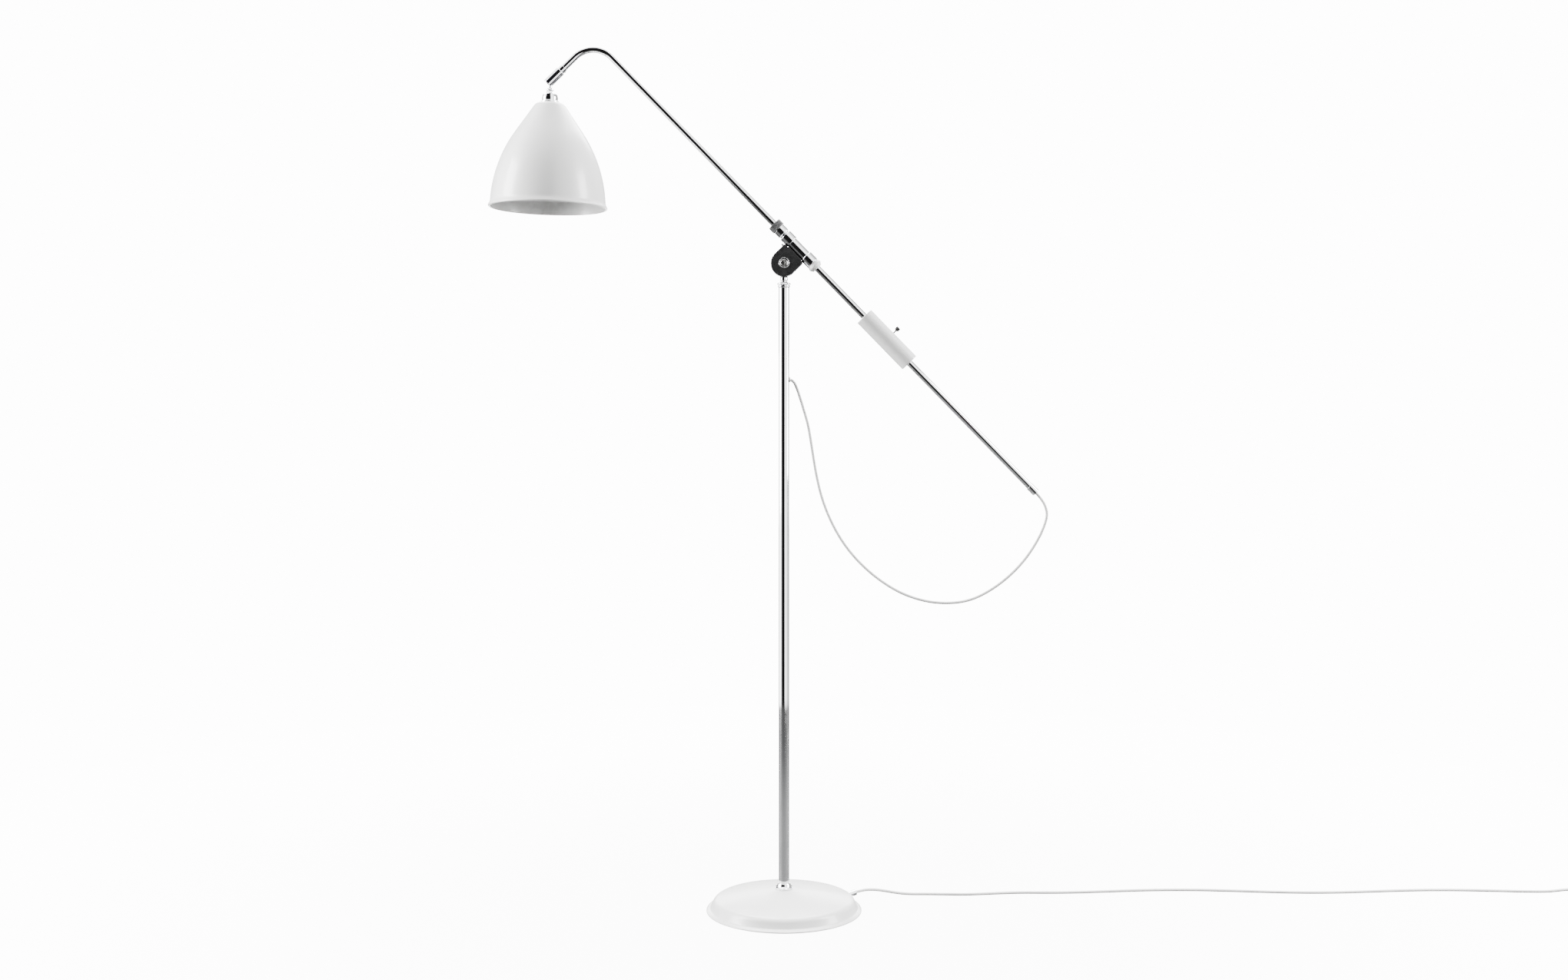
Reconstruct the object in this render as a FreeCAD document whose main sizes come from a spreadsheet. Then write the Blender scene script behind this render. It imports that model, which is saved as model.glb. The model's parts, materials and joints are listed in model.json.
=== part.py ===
"""Adjustable arm floor lamp: a weighted round base, a post, a counterbalanced arm and a bell shade.

Millimetres, +Z up. The origin is the centre of the base on the floor. The arm lies in the XZ plane,
with its tail and counterweight towards +X and the shade towards -X.
"""

import FreeCAD, Part
import math
import os

import Sketcher

doc = FreeCAD.newDocument("ArmFloorLamp")

# ---------------------------------------------------------------- driving dimensions

SIZES = {
    # base
    "base_radius": 138.3,
    "base_height": 38.8,
    "base_wall": 1.6,
    "pad_thickness": 1.6,
    "pad_inset": 5.0,
    "mound_radius": 36.5,
    "mound_drop": 2.4,
    "skirt_height": 15.2,
    "shoulder_rise": 7.3,
    "shoulder_round": 12.6,
    "dome_round": 560.0,
    "shoulder_inset": 20.3,
    "skirt_inset": 11.7,
    "foot_inset": 8.1,
    "foot_height": 7.0,
    "flange_inset": 5.1,
    "flange_height": 5.2,
    "lip_height": 2.9,
    "lip_gap": 0.8,
    "weight_gap": 1.2,
    "recess_radius": 24.0,
    "recess_height": 20.0,
    "channel_width": 16.0,
    "channel_floor": 5.0,
    "rod_radius": 5.0,
    "rod_bore": 3.5,
    "rod_length": 56.0,
    "nut_across_flats": 17.0,
    "nut_height": 6.0,
    "washer_radius": 13.0,
    "washer_thickness": 1.5,
    "rod_end": 1.0,
    # post
    "post_radius": 9.5,
    "post_wall": 1.5,
    "post_top": 1107.5,
    "foot_length": 30.0,
    "collar_stand": 6.0,
    "collar_shelf": 4.5,
    "collar_height": 10.2,
    "grommet_drop": 163.5,
    "grommet_wall": 1.1,
    "grommet_flange": 1.4,
    "grommet_stand": 1.9,
    "grommet_seat": 0.6,
    "grommet_inset": 0.5,
    # swivel at the top of the post
    "cap_stand": 0.35,
    "cap_bulge": 3.0,
    "cap_height": 5.0,
    "cap_spigot": 20.0,
    "swivel_radius": 4.0,
    "swivel_nut_corner": 7.0,
    "swivel_nut_height": 4.6,
    "swivel_pin_end": 0.8,
    "saucer_radius": 12.6,
    "saucer_height": 6.0,
    "neck_ball": 7.0,
    "neck_height": 8.2,
    # pivot
    "pivot_rise": 43.5,
    "tongue_thickness": 7.0,
    "tongue_radius": 12.0,
    "friction_washer": 0.6,
    "clevis_radius": 23.6,
    "clevis_thickness": 18.2,
    "clevis_seat_length": 33.0,
    "clevis_seat_shift": 1.0,
    "clevis_slot_clearance": 2.0,
    "clevis_screw_radius": 1.8,
    "clevis_screw_length": 4.6,
    "clevis_screw_drop": 3.0,
    "bolt_radius": 5.0,
    "bolt_head_radius": 6.4,
    "bolt_head_height": 2.0,
    "bolt_slot": 1.5,
    "bolt_slot_turn": 32.3,
    "bolt_tail": 6.0,
    "pivot_nut_corner": 8.0,
    "pivot_nut_height": 5.0,
    "bezel_radius": 9.45,
    "bezel_bore": 7.7,
    "bezel_height": 1.4,
    # arm
    "arm_slope": 45.76,
    "arm_offset": 36.4,
    "arm_radius": 6.0,
    "arm_wall": 1.2,
    "arm_tail": 604.0,
    "arm_corner": 522.5,
    "arm_bend": 46.0,
    "arm_end": 94.0,
    "ferrule_wall": 1.0,
    "ferrule_length": 16.5,
    "ferrule_lip": 1.5,
    # sleeve that the arm slides and turns in
    "collet_wall": 1.2,
    "collet_slit": 0.8,
    "nut_face": 2.4,
    "sleeve_ring": 11.8,
    "sleeve_waist": 10.0,
    "sleeve_neck": 9.3,
    "sleeve_mouth": 11.2,
    "sleeve_top": 50.0,
    "sleeve_tail": 35.5,
    "mouth_length": 12.6,
    "neck_length": 3.4,
    "ring_length": 17.5,
    "waist_length": 35.0,
    "nose_radius": 9.5,
    "nose_length": 10.0,
    "collet_length": 32.0,
    "nut_radius": 12.7,
    "nut_length": 12.0,
    "bush_radius": 12.9,
    "bush_length": 12.0,
    "bush_spigot": 26.0,
    # counterweight
    "weight_radius": 17.0,
    "weight_length": 115.4,
    "weight_start": 167.0,
    "weight_edge": 1.5,
    "screw_radius": 1.3,
    "screw_head": 4.0,
    "screw_head_height": 6.5,
    "screw_stand": 6.6,
    # knuckle at the shade end of the arm
    "end_collar_wall": 0.9,
    "end_screw_radius": 1.5,
    "end_collar_start": 73.5,
    "end_collar_length": 8.6,
    "knuckle_wall": 2.1,
    "knuckle_lip": 0.9,
    "seat_bore": 2.8,
    "knuckle_length": 32.6,
    "ball_radius": 6.5,
    "ball_inset": 7.0,
    "stem_radius": 3.4,
    "stem_bore": 2.1,
    "stem_length": 27.0,
    "stem_nut_corner": 6.4,
    "stem_nut_height": 4.0,
    "slot_side": 0.4,
    # shade holder
    "gallery_height": 19.9,
    "gallery_radius": 14.3,
    "gallery_flange": 16.3,
    "gallery_wall": 1.2,
    "shade_start": 38.5,
    "holder_radius": 12.9,
    "holder_length": 32.0,
    "ring_radius": 18.5,
    "ring_height": 4.6,
    # shade
    "shade_lean": 1.1,
    "shade_height": 188.2,
    "shade_flat": 16.0,
    "shoulder_radius": 28.4,
    "shoulder_drop": 6.5,
    "cone_radius": 60.2,
    "cone_drop": 53.3,
    "shade_radius": 102.0,
    "belly_height": 11.9,
    "rim_stand": 2.6,
    "rim_height": 4.2,
    "shade_wall": 1.2,
    "shade_shoulder": 15.0,
    "shade_belly": 242.0,
    "bulb_radius": 22.5,
    "bulb_cap_radius": 6.9,
    "bulb_glass_wall": 0.8,
    "bulb_neck_length": 29.5,
    # cords
    "cord_radius": 2.5,
    "gland_radius": 5.2,
    "gland_length": 13.0,
    "gland_azimuth": 20.0,
    "gland_rise": 12.0,
    "gland_inset": 12.3,
    "gland_height": 16.0,
    "gland_thread": 4.4,
    "gland_depth": 15.0,
    "gland_thread_end": 6.0,
    "gland_nut_wall": 2.1,
    "gland_nut_height": 4.0,
    "coil_middle": 29.0,
    "coil_width": 17.4,
    "coil_height": 10.4,
    "switch_length": 62.0,
    "switch_width": 24.0,
    "switch_height": 15.0,
    "switch_wall": 2.0,
    "rocker_length": 18.0,
    "rocker_width": 11.0,
    "rocker_pin_radius": 1.0,
    "rocker_pin_drop": 4.0,
    "plug_length": 36.0,
    "plug_width": 35.0,
    "plug_height": 13.8,
    "plug_neck": 18.0,
    "pin_radius": 2.0,
    "pin_length": 19.0,
    "pin_spacing": 19.0,
    # fits
    "running_fit": 0.05,
    "free_fit": 0.3,
}

sheet = doc.addObject("Spreadsheet::Sheet", "dims")
for row, (alias, number) in enumerate(SIZES.items(), start=1):
    sheet.set(f"A{row}", alias)
    sheet.set(f"B{row}", str(number))
    sheet.setAlias(f"B{row}", alias)
doc.recompute()


class Size:
    """A length that keeps both its value and the expression of sheet cells that gives it."""

    def __init__(self, value, text):
        self.value = value
        self.text = text

    def __add__(self, other):
        other = size(other)
        return Size(self.value + other.value, f"({self.text} + {other.text})")

    def __sub__(self, other):
        other = size(other)
        return Size(self.value - other.value, f"({self.text} - {other.text})")

    def __mul__(self, factor):
        factor = size(factor)
        return Size(self.value * factor.value, f"({self.text} * {factor.text})")

    def __truediv__(self, divisor):
        divisor = size(divisor)
        return Size(self.value / divisor.value, f"({self.text} / {divisor.text})")

    def __radd__(self, other):
        return size(other) + self

    def __rsub__(self, other):
        return size(other) - self

    def __rmul__(self, other):
        return size(other) * self


def size(number):
    if isinstance(number, Size):
        return number
    return Size(float(number), repr(float(number)))


class Dims:
    """The sheet's cells by name, as sizes."""

    def __getattr__(self, alias):
        return Size(float(sheet.get(alias)), f"dims.{alias}")


d = Dims()

# pieces that fit round or in another piece
collar_radius = d.post_radius + d.collar_stand
post_bore = d.post_radius - d.post_wall
grommet_neck = d.cord_radius + d.grommet_wall
grommet_height = d.post_top - d.grommet_drop
pivot_height = d.post_top + d.pivot_rise
sleeve_bore = d.arm_radius + d.collet_wall
end_collar_radius = d.arm_radius + d.end_collar_wall

# ---------------------------------------------------------------- frames along the lamp

SLOPE = math.radians(d.arm_slope.value)
LEAN = math.radians(d.shade_lean.value)
Y_AXIS = FreeCAD.Vector(0, 1, 0)
Z_AXIS = FreeCAD.Vector(0, 0, 1)
TAILWARD = FreeCAD.Vector(math.cos(SLOPE), 0, -math.sin(SLOPE))
UPWARD = FreeCAD.Vector(math.sin(SLOPE), 0, math.cos(SLOPE))
ENDWARD = UPWARD * -1
SHADE_UP = FreeCAD.Vector(math.sin(LEAN), 0, math.cos(LEAN))
PIVOT = FreeCAD.Vector(0, 0, pivot_height.value)
ARM_FOOT = PIVOT + UPWARD * d.arm_offset.value
ARM_CORNER = ARM_FOOT - TAILWARD * d.arm_corner.value


def at(point, axis=None, degrees=0.0):
    return FreeCAD.Placement(point, FreeCAD.Rotation(axis or Z_AXIS, degrees))


def at_height(height):
    return at(FreeCAD.Vector(0, 0, size(height).value))


def on_arm(distance):
    """Local Z runs along the arm towards its tail, from this distance past the sleeve's middle."""
    point = ARM_FOOT + TAILWARD * size(distance).value
    return at(point, Y_AXIS, 90 + d.arm_slope.value)


def on_arm_end(distance):
    """Local Z runs down the arm's short end, from this distance past the corner of the bend."""
    point = ARM_CORNER + ENDWARD * size(distance).value
    return at(point, Y_AXIS, 180 + d.arm_slope.value)


knuckle_start = d.end_collar_start + d.end_collar_length + d.free_fit
knuckle_end = knuckle_start + d.knuckle_length
BALL = ARM_CORNER + ENDWARD * (knuckle_end - d.ball_inset).value


def under_ball(depth):
    """Local Z runs up the shade's axis, from this depth below the ball's centre."""
    return at(BALL - SHADE_UP * size(depth).value, Y_AXIS, d.shade_lean.value)


# ---------------------------------------------------------------- how pieces are made

parts = []


def origin_plane(body, role):
    return next(item for item in body.Origin.OriginFeatures if item.Role == role)


def new_body(label, placement):
    body = doc.addObject("PartDesign::Body", label)
    body.Label = label
    body.Placement = placement
    parts.append(body)
    return body


def new_sketch(body, role="XZ_Plane", offset=0.0, tilt=None):
    """A sketch on one of the body's planes, moved off it along its normal, or tilted as a placement says."""
    sketch = body.newObject("Sketcher::SketchObject", body.Label + "_sketch")
    sketch.AttachmentSupport = (origin_plane(body, role), [""])
    sketch.MapMode = "FlatFace"
    if tilt is not None:
        sketch.AttachmentOffset = tilt
    elif size(offset).value:
        sketch.setExpression("AttachmentOffset.Base.z", size(offset).text)
    return sketch


def pin_point(sketch, line, end, across, up):
    """Ties one end of a line or arc to a distance across and a distance up from the origin."""
    for kind, axis, distance in (("DistanceX", -2, across), ("DistanceY", -1, up)):
        if abs(distance.value) < 1e-9:
            sketch.addConstraint(Sketcher.Constraint("PointOnObject", line, end, axis))
            continue
        pinned = Sketcher.Constraint(kind, -1, 1, line, end, distance.value)
        number = sketch.addConstraint(pinned)
        sketch.setExpression(f"Constraints[{number}]", distance.text)


def arc_between(start, end, radius):
    """An arc from start to end that bulges to the left of the way there, or right if radius is below 0."""
    way = end - start
    half = way.Length / 2
    left = FreeCAD.Vector(-way.y, way.x, 0).normalize()
    side = 1 if radius > 0 else -1
    reach = abs(radius)
    centre = start + way / 2 - left * side * math.sqrt(max(reach**2 - half**2, 0))
    middle = centre + left * side * reach
    if side > 0:
        start, end = end, start
    return Part.Arc(start, middle, end)


def draw_outline(sketch, outline, closed=True):
    """Corners (across, up), or (across, up, radius) where an arc leads to the next, joined in order."""
    first = sketch.GeometryCount
    corners = [tuple(size(number) for number in corner) for corner in outline]
    count = len(corners)
    starts = []
    for index, corner in enumerate(corners if closed else corners[:-1]):
        following = corners[(index + 1) % count]
        start = FreeCAD.Vector(corner[0].value, corner[1].value, 0)
        end = FreeCAD.Vector(following[0].value, following[1].value, 0)
        if len(corner) == 2:
            sketch.addGeometry(Part.LineSegment(start, end))
            starts.append(1)
            continue
        sketch.addGeometry(arc_between(start, end, corner[2].value))
        starts.append(2 if corner[2].value > 0 else 1)
    for index, corner in enumerate(corners):
        last = first + (index - 1) % count
        last_end = 3 - starts[(index - 1) % len(starts)]
        here = first + index
        if not closed and index == count - 1:
            pin_point(sketch, last, last_end, corner[0], corner[1])
            continue
        if closed or index > 0:
            joined = Sketcher.Constraint("Coincident", last, last_end, here, starts[index])
            sketch.addConstraint(joined)
        pin_point(sketch, here, starts[index], corner[0], corner[1])
        if len(corner) == 3:
            round_size = abs(corner[2].value)
            number = sketch.addConstraint(Sketcher.Constraint("Radius", here, round_size))
            sign = "" if corner[2].value > 0 else "-"
            sketch.setExpression(f"Constraints[{number}]", f"{sign}({corner[2].text})")


def draw_circle(sketch, across, up, radius):
    across, up, radius = size(across), size(up), size(radius)
    centre = FreeCAD.Vector(across.value, up.value, 0)
    circle = sketch.addGeometry(Part.Circle(centre, FreeCAD.Vector(0, 0, 1), radius.value))
    pin_point(sketch, circle, 3, across, up)
    number = sketch.addConstraint(Sketcher.Constraint("Radius", circle, radius.value))
    sketch.setExpression(f"Constraints[{number}]", radius.text)


def revolve(body, outline):
    sketch = new_sketch(body)
    draw_outline(sketch, outline)
    turn = body.newObject("PartDesign::Revolution", body.Label + "_turn")
    turn.Profile = sketch
    turn.ReferenceAxis = (sketch, ["V_Axis"])
    turn.Angle = 360.0
    sketch.Visibility = False


def turned(label, outline, placement):
    """A piece turned about its local Z from an outline of (radius, height) corners."""
    body = new_body(label, placement)
    revolve(body, outline)
    return body


def add_pad(body, thickness, outline=(), circles=(), role="XZ_Plane"):
    """A plate drawn on one of the body's planes, half its thickness to each side."""
    sketch = new_sketch(body, role)
    if outline:
        draw_outline(sketch, outline)
    for across, up, radius in circles:
        draw_circle(sketch, across, up, radius)
    pad = body.newObject("PartDesign::Pad", body.Label + "_pad")
    pad.Profile = sketch
    pad.SideType = "Symmetric"
    pad.setExpression("Length", size(thickness).text)
    sketch.Visibility = False
    return pad


def cut(body, depth, outline=(), circles=(), role="XZ_Plane", offset=0.0, tilt=None):
    """Removes what an outline or circles sweep, half the depth to each side of the plane."""
    before = solid_of(body).Volume
    sketch = new_sketch(body, role, offset, tilt)
    if outline:
        draw_outline(sketch, outline)
    for across, up, radius in circles:
        draw_circle(sketch, across, up, radius)
    pocket = body.newObject("PartDesign::Pocket", body.Label + "_cut")
    pocket.Profile = sketch
    pocket.SideType = "Symmetric"
    pocket.setExpression("Length", size(depth).text)
    sketch.Visibility = False
    if solid_of(body).Volume > before - 1e-3:
        raise RuntimeError(f"{body.Label}: a cut removes nothing")
    return pocket


def solid_of(body):
    doc.recompute()
    return body.Shape


def loose_shape(label, shape, placement=None):
    """A piece whose shape is worked out with Part's own functions."""
    feature = doc.addObject("Part::Feature", label)
    feature.Label = label
    feature.Shape = shape
    feature.Placement = placement or at_height(0)
    parts.append(feature)
    return feature


def root_of(long_side, short_side):
    """The other short side of a right triangle."""
    long_side, short_side = size(long_side), size(short_side)
    value = math.sqrt(long_side.value**2 - short_side.value**2)
    return Size(value, f"sqrt({long_side.text} * {long_side.text} - {short_side.text} * {short_side.text})")


def box_outline(left, low, right, high):
    return [(left, low), (right, low), (right, high), (left, high)]


def hex_nut(label, corner_radius, height, bore, placement):
    """A six-sided nut with a plain bore."""
    block = doc.addObject("Part::Prism", label + "_block")
    block.Polygon = 6
    block.setExpression("Circumradius", size(corner_radius).text)
    block.setExpression("Height", size(height).text)
    hole = doc.addObject("Part::Cylinder", label + "_hole")
    hole.setExpression("Radius", size(bore).text)
    hole.setExpression("Height", size(height).text)
    nut = doc.addObject("Part::Cut", label)
    nut.Base = block
    nut.Tool = hole
    nut.Label = label
    nut.Placement = placement
    parts.append(nut)
    return nut


def rounded_path(points):
    """Straight runs through the points, joined by tangent arcs, and the arcs' radii."""
    points = [FreeCAD.Vector(*point) for point in points]
    edges = []
    radii = []
    start = points[0]
    for before, corner, after in zip(points, points[1:], points[2:]):
        arrive = corner - before
        leave = after - corner
        turn = arrive.getAngle(leave)
        reach = 0.45 * min(arrive.Length, leave.Length)
        radius = reach / math.tan(turn / 2)
        arc_start = corner - arrive.normalize() * reach
        arc_end = corner + leave.normalize() * reach
        inward = (arc_start + arc_end) / 2 - corner
        middle = corner + inward.normalize() * (math.hypot(radius, reach) - radius)
        edges.append(Part.LineSegment(start, arc_start).toShape())
        edges.append(Part.Arc(arc_start, middle, arc_end).toShape())
        radii.append(radius)
        start = arc_end
    edges.append(Part.LineSegment(start, points[-1]).toShape())
    return Part.Wire(edges), radii


def cord_tube(label, points, radius=d.cord_radius):
    path, radii = rounded_path(points)
    way = FreeCAD.Vector(*points[1]) - FreeCAD.Vector(*points[0])
    ring = Part.Circle(FreeCAD.Vector(*points[0]), way, radius.value).toShape()
    tube = path.makePipeShell([Part.Wire([ring])], True, False)
    expected = math.pi * radius.value**2 * path.Length
    if abs(tube.Volume / expected - 1) > 0.01:
        raise RuntimeError(f"{label}: the tube's volume is {tube.Volume:.0f}, not {expected:.0f}")
    listed = ", ".join(f"{each:.0f}" for each in radii)
    print(f"{label}: {path.Length:.0f} mm long, bend radii {listed or 'none'}")
    return loose_shape(label, tube)


# ---------------------------------------------------------------- base


def make_base():
    rim = d.base_radius
    mound_height = d.base_height - d.mound_drop
    shoulder_top = d.skirt_height + d.shoulder_rise
    mound_flat = collar_radius + d.collar_shelf
    hole = d.rod_radius + d.running_fit
    turn = at(FreeCAD.Vector(0, 0, 0), Z_AXIS, d.gland_azimuth.value)

    cover = turned(
        "base_cover",
        [
            (hole, d.base_height),
            (mound_flat, d.base_height),
            (d.mound_radius, mound_height, d.dome_round),
            (rim - d.shoulder_inset, shoulder_top, d.shoulder_round),
            (rim - d.skirt_inset, d.skirt_height),
            (rim - d.foot_inset, d.foot_height, size(0) - d.lip_height),
            (rim - d.flange_inset, d.flange_height),
            (rim - d.base_wall / 2, d.lip_height, d.base_wall),
            (rim - d.base_wall / 2, d.lip_gap),
            (rim - d.base_wall, d.lip_gap),
            (rim - d.foot_inset + d.base_wall, d.lip_gap + d.base_wall),
            (rim - d.foot_inset - d.base_wall, d.foot_height),
            (rim - d.skirt_inset - d.base_wall, d.skirt_height, d.base_wall - d.shoulder_round),
            (rim - d.shoulder_inset, shoulder_top - d.base_wall, size(0) - d.dome_round),
            (d.mound_radius, mound_height - d.base_wall),
            (mound_flat, d.base_height - d.base_wall),
            (hole, d.base_height - d.base_wall),
        ],
        turn,
    )
    gland_plane = FreeCAD.Placement(
        FreeCAD.Vector(0, d.gland_height.value, (rim - d.gland_inset).value),
        FreeCAD.Rotation(FreeCAD.Vector(1, 0, 0), -d.gland_rise.value),
    )
    gland_hole = d.gland_radius + d.running_fit
    cut(cover, d.gland_length * 2, circles=[(0, 0, gland_hole)], role="YZ_Plane", tilt=gland_plane)

    weight_radius = rim - d.skirt_inset - d.base_wall - d.weight_gap
    weight_top = mound_height - d.base_wall - d.weight_gap
    weight = turned(
        "base_weight",
        [
            (d.recess_radius, d.pad_thickness),
            (weight_radius, d.pad_thickness),
            (weight_radius, d.skirt_height - d.weight_gap),
            (rim - d.shoulder_inset - d.weight_gap * 2, d.skirt_height + d.weight_gap * 2.5),
            (d.mound_radius, weight_top),
            (d.rod_radius + d.weight_gap, weight_top),
            (d.rod_radius + d.weight_gap, d.recess_height),
            (d.recess_radius, d.recess_height),
        ],
        turn,
    )
    channel = box_outline(d.recess_radius - d.weight_gap, d.channel_floor, rim, d.base_height)
    cut(weight, d.channel_width, channel)

    pad_radius = rim - d.pad_inset - d.foot_inset
    turned("base_pad", box_outline(0, 0, pad_radius, d.pad_thickness), at_height(0))

    rod_start = d.recess_height - d.washer_thickness - d.nut_height - d.rod_end
    rod = box_outline(d.rod_bore, 0, d.rod_radius, d.rod_length)
    turned("tie_rod", rod, at_height(rod_start))
    washer = box_outline(d.rod_radius + d.running_fit, 0, d.washer_radius, d.washer_thickness)
    turned("tie_washer", washer, at_height(d.recess_height - d.washer_thickness))
    nut_corner = d.nut_across_flats / math.sqrt(3)
    nut_place = at_height(d.recess_height - d.washer_thickness - d.nut_height)
    hex_nut("tie_nut", nut_corner, d.nut_height, d.rod_radius + d.running_fit, nut_place)


# ---------------------------------------------------------------- mains gland

AZIMUTH = math.radians(d.gland_azimuth.value)
RISE = math.radians(d.gland_rise.value)
GLAND_WAY = FreeCAD.Vector(
    math.cos(AZIMUTH) * math.cos(RISE), math.sin(AZIMUTH) * math.cos(RISE), math.sin(RISE)
)
gland_reach = (d.base_radius - d.gland_inset).value
GLAND_FOOT = FreeCAD.Vector(
    gland_reach * math.cos(AZIMUTH), gland_reach * math.sin(AZIMUTH), d.gland_height.value
)


def on_gland(distance):
    """Local Z runs out along the gland, from this distance past the middle of its hole."""
    return FreeCAD.Placement(
        GLAND_FOOT + GLAND_WAY * size(distance).value, FreeCAD.Rotation(Z_AXIS, GLAND_WAY)
    )


def make_gland():
    bore = d.cord_radius + d.running_fit
    thread_length = d.gland_depth - d.gland_thread_end
    whole = d.gland_depth + d.gland_length
    turned(
        "lead_gland",
        [
            (bore, 0),
            (d.gland_thread, 0),
            (d.gland_thread, thread_length),
            (d.gland_radius, thread_length),
            (d.gland_radius, whole - 0.8),
            (d.gland_radius - 0.8, whole),
            (bore, whole),
        ],
        on_gland(size(0) - d.gland_depth),
    )
    nut_bore = d.gland_thread + d.running_fit
    nut = box_outline(nut_bore, 0, d.gland_thread + d.gland_nut_wall, d.gland_nut_height)
    turned("gland_nut", nut, on_gland(size(1.5) - d.gland_depth))


# ---------------------------------------------------------------- post


def make_post():
    inner = post_bore
    length = d.post_top - d.base_height
    tube = turned("post_tube", box_outline(inner, 0, d.post_radius, length), at_height(d.base_height))
    neck = grommet_neck
    hole = [(0, grommet_height - d.base_height, neck + d.running_fit)]
    cut(tube, d.post_radius, circles=hole, role="YZ_Plane", offset=d.post_radius)

    foot = box_outline(d.rod_radius + d.running_fit, 0, inner - d.running_fit, d.foot_length)
    turned("post_foot", foot, at_height(d.base_height))

    bore = d.post_radius + d.running_fit
    turned(
        "post_collar",
        [
            (bore, 0),
            (collar_radius - 0.5, 0),
            (collar_radius, 1.2),
            (collar_radius, 3.0, size(0) - d.collar_height),
            (bore + 1.0, d.collar_height),
            (bore, d.collar_height),
        ],
        at_height(d.base_height),
    )

    stand = d.grommet_stand
    back = d.post_wall + d.grommet_seat
    flange = neck + d.grommet_flange
    place = FreeCAD.Placement(
        FreeCAD.Vector((inner - d.grommet_inset).value, 0, grommet_height.value),
        FreeCAD.Rotation(Z_AXIS, FreeCAD.Vector(1, 0, 0)),
    )
    turned(
        "post_grommet",
        [
            (d.cord_radius + d.running_fit, 0),
            (neck, 0),
            (neck, back),
            (flange, back),
            (flange, back + stand / 2, size(0) - stand / 2),
            (flange - stand / 2, back + stand),
            (d.cord_radius + d.running_fit, back + stand),
        ],
        place,
    )

    ring_edge = d.post_radius + d.cap_stand
    turned(
        "post_cap",
        [
            (d.swivel_radius + d.running_fit, 0),
            (inner - d.running_fit, 0),
            (inner - d.running_fit, d.cap_spigot),
            (ring_edge, d.cap_spigot, size(0) - d.cap_bulge),
            (ring_edge, d.cap_spigot + d.cap_height),
            (d.swivel_radius + d.running_fit, d.cap_spigot + d.cap_height),
        ],
        at_height(d.post_top - d.cap_spigot),
    )


# ---------------------------------------------------------------- swivel head


def make_head():
    bore = d.swivel_radius + d.running_fit
    saucer_foot = d.post_top + d.cap_height + d.free_fit
    turned(
        "swivel_saucer",
        [
            (bore, 0),
            (d.saucer_radius - 1.2, 0),
            (d.saucer_radius, 0.9, d.saucer_radius * 0.75),
            (bore + 1.5, d.saucer_height),
            (bore, d.saucer_height),
        ],
        at_height(saucer_foot),
    )

    nut_height = d.swivel_nut_height
    pin_start = d.post_top - d.cap_spigot - d.free_fit - nut_height - d.swivel_pin_end
    pin = saucer_foot + d.saucer_height - pin_start
    neck = new_body("swivel_neck", at_height(pin_start))
    ball_edge = d.neck_ball - 1.3
    revolve(
        neck,
        [
            (0, 0),
            (d.swivel_radius, 0),
            (d.swivel_radius, pin),
            (ball_edge, pin, size(0) - d.neck_ball),
            (ball_edge, pin + d.neck_height),
            (0, pin + d.neck_height),
        ],
    )
    pivot_up = pivot_height - pin_start
    low = pin + d.neck_height / 2
    half = d.neck_ball
    top = d.tongue_radius
    step = root_of(top, half)
    add_pad(
        neck,
        d.tongue_thickness,
        [
            (size(0) - half, low),
            (half, low),
            (half, pivot_up - step, size(0) - top),
            (top, pivot_up, size(0) - top),
            (0, pivot_up + top, size(0) - top),
            (size(0) - top, pivot_up, size(0) - top),
            (size(0) - half, pivot_up - step),
        ],
    )
    cut(neck, d.tongue_thickness * 2, circles=[(0, pivot_up, d.bolt_radius + d.running_fit)])
    nut_place = at_height(pin_start + d.swivel_pin_end)
    nut_bore = d.swivel_radius + d.running_fit
    hex_nut("swivel_nut", d.swivel_nut_corner, nut_height, nut_bore, nut_place)


# ---------------------------------------------------------------- clevis and sleeve


def across_pivot(depth, turn=0.0):
    """Local Z runs towards -Y, from this depth behind the middle of the clevis."""
    place = at(PIVOT + Y_AXIS * size(depth).value, FreeCAD.Vector(1, 0, 0), 90)
    return place.multiply(at(FreeCAD.Vector(0, 0, 0), Z_AXIS, turn))


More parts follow.
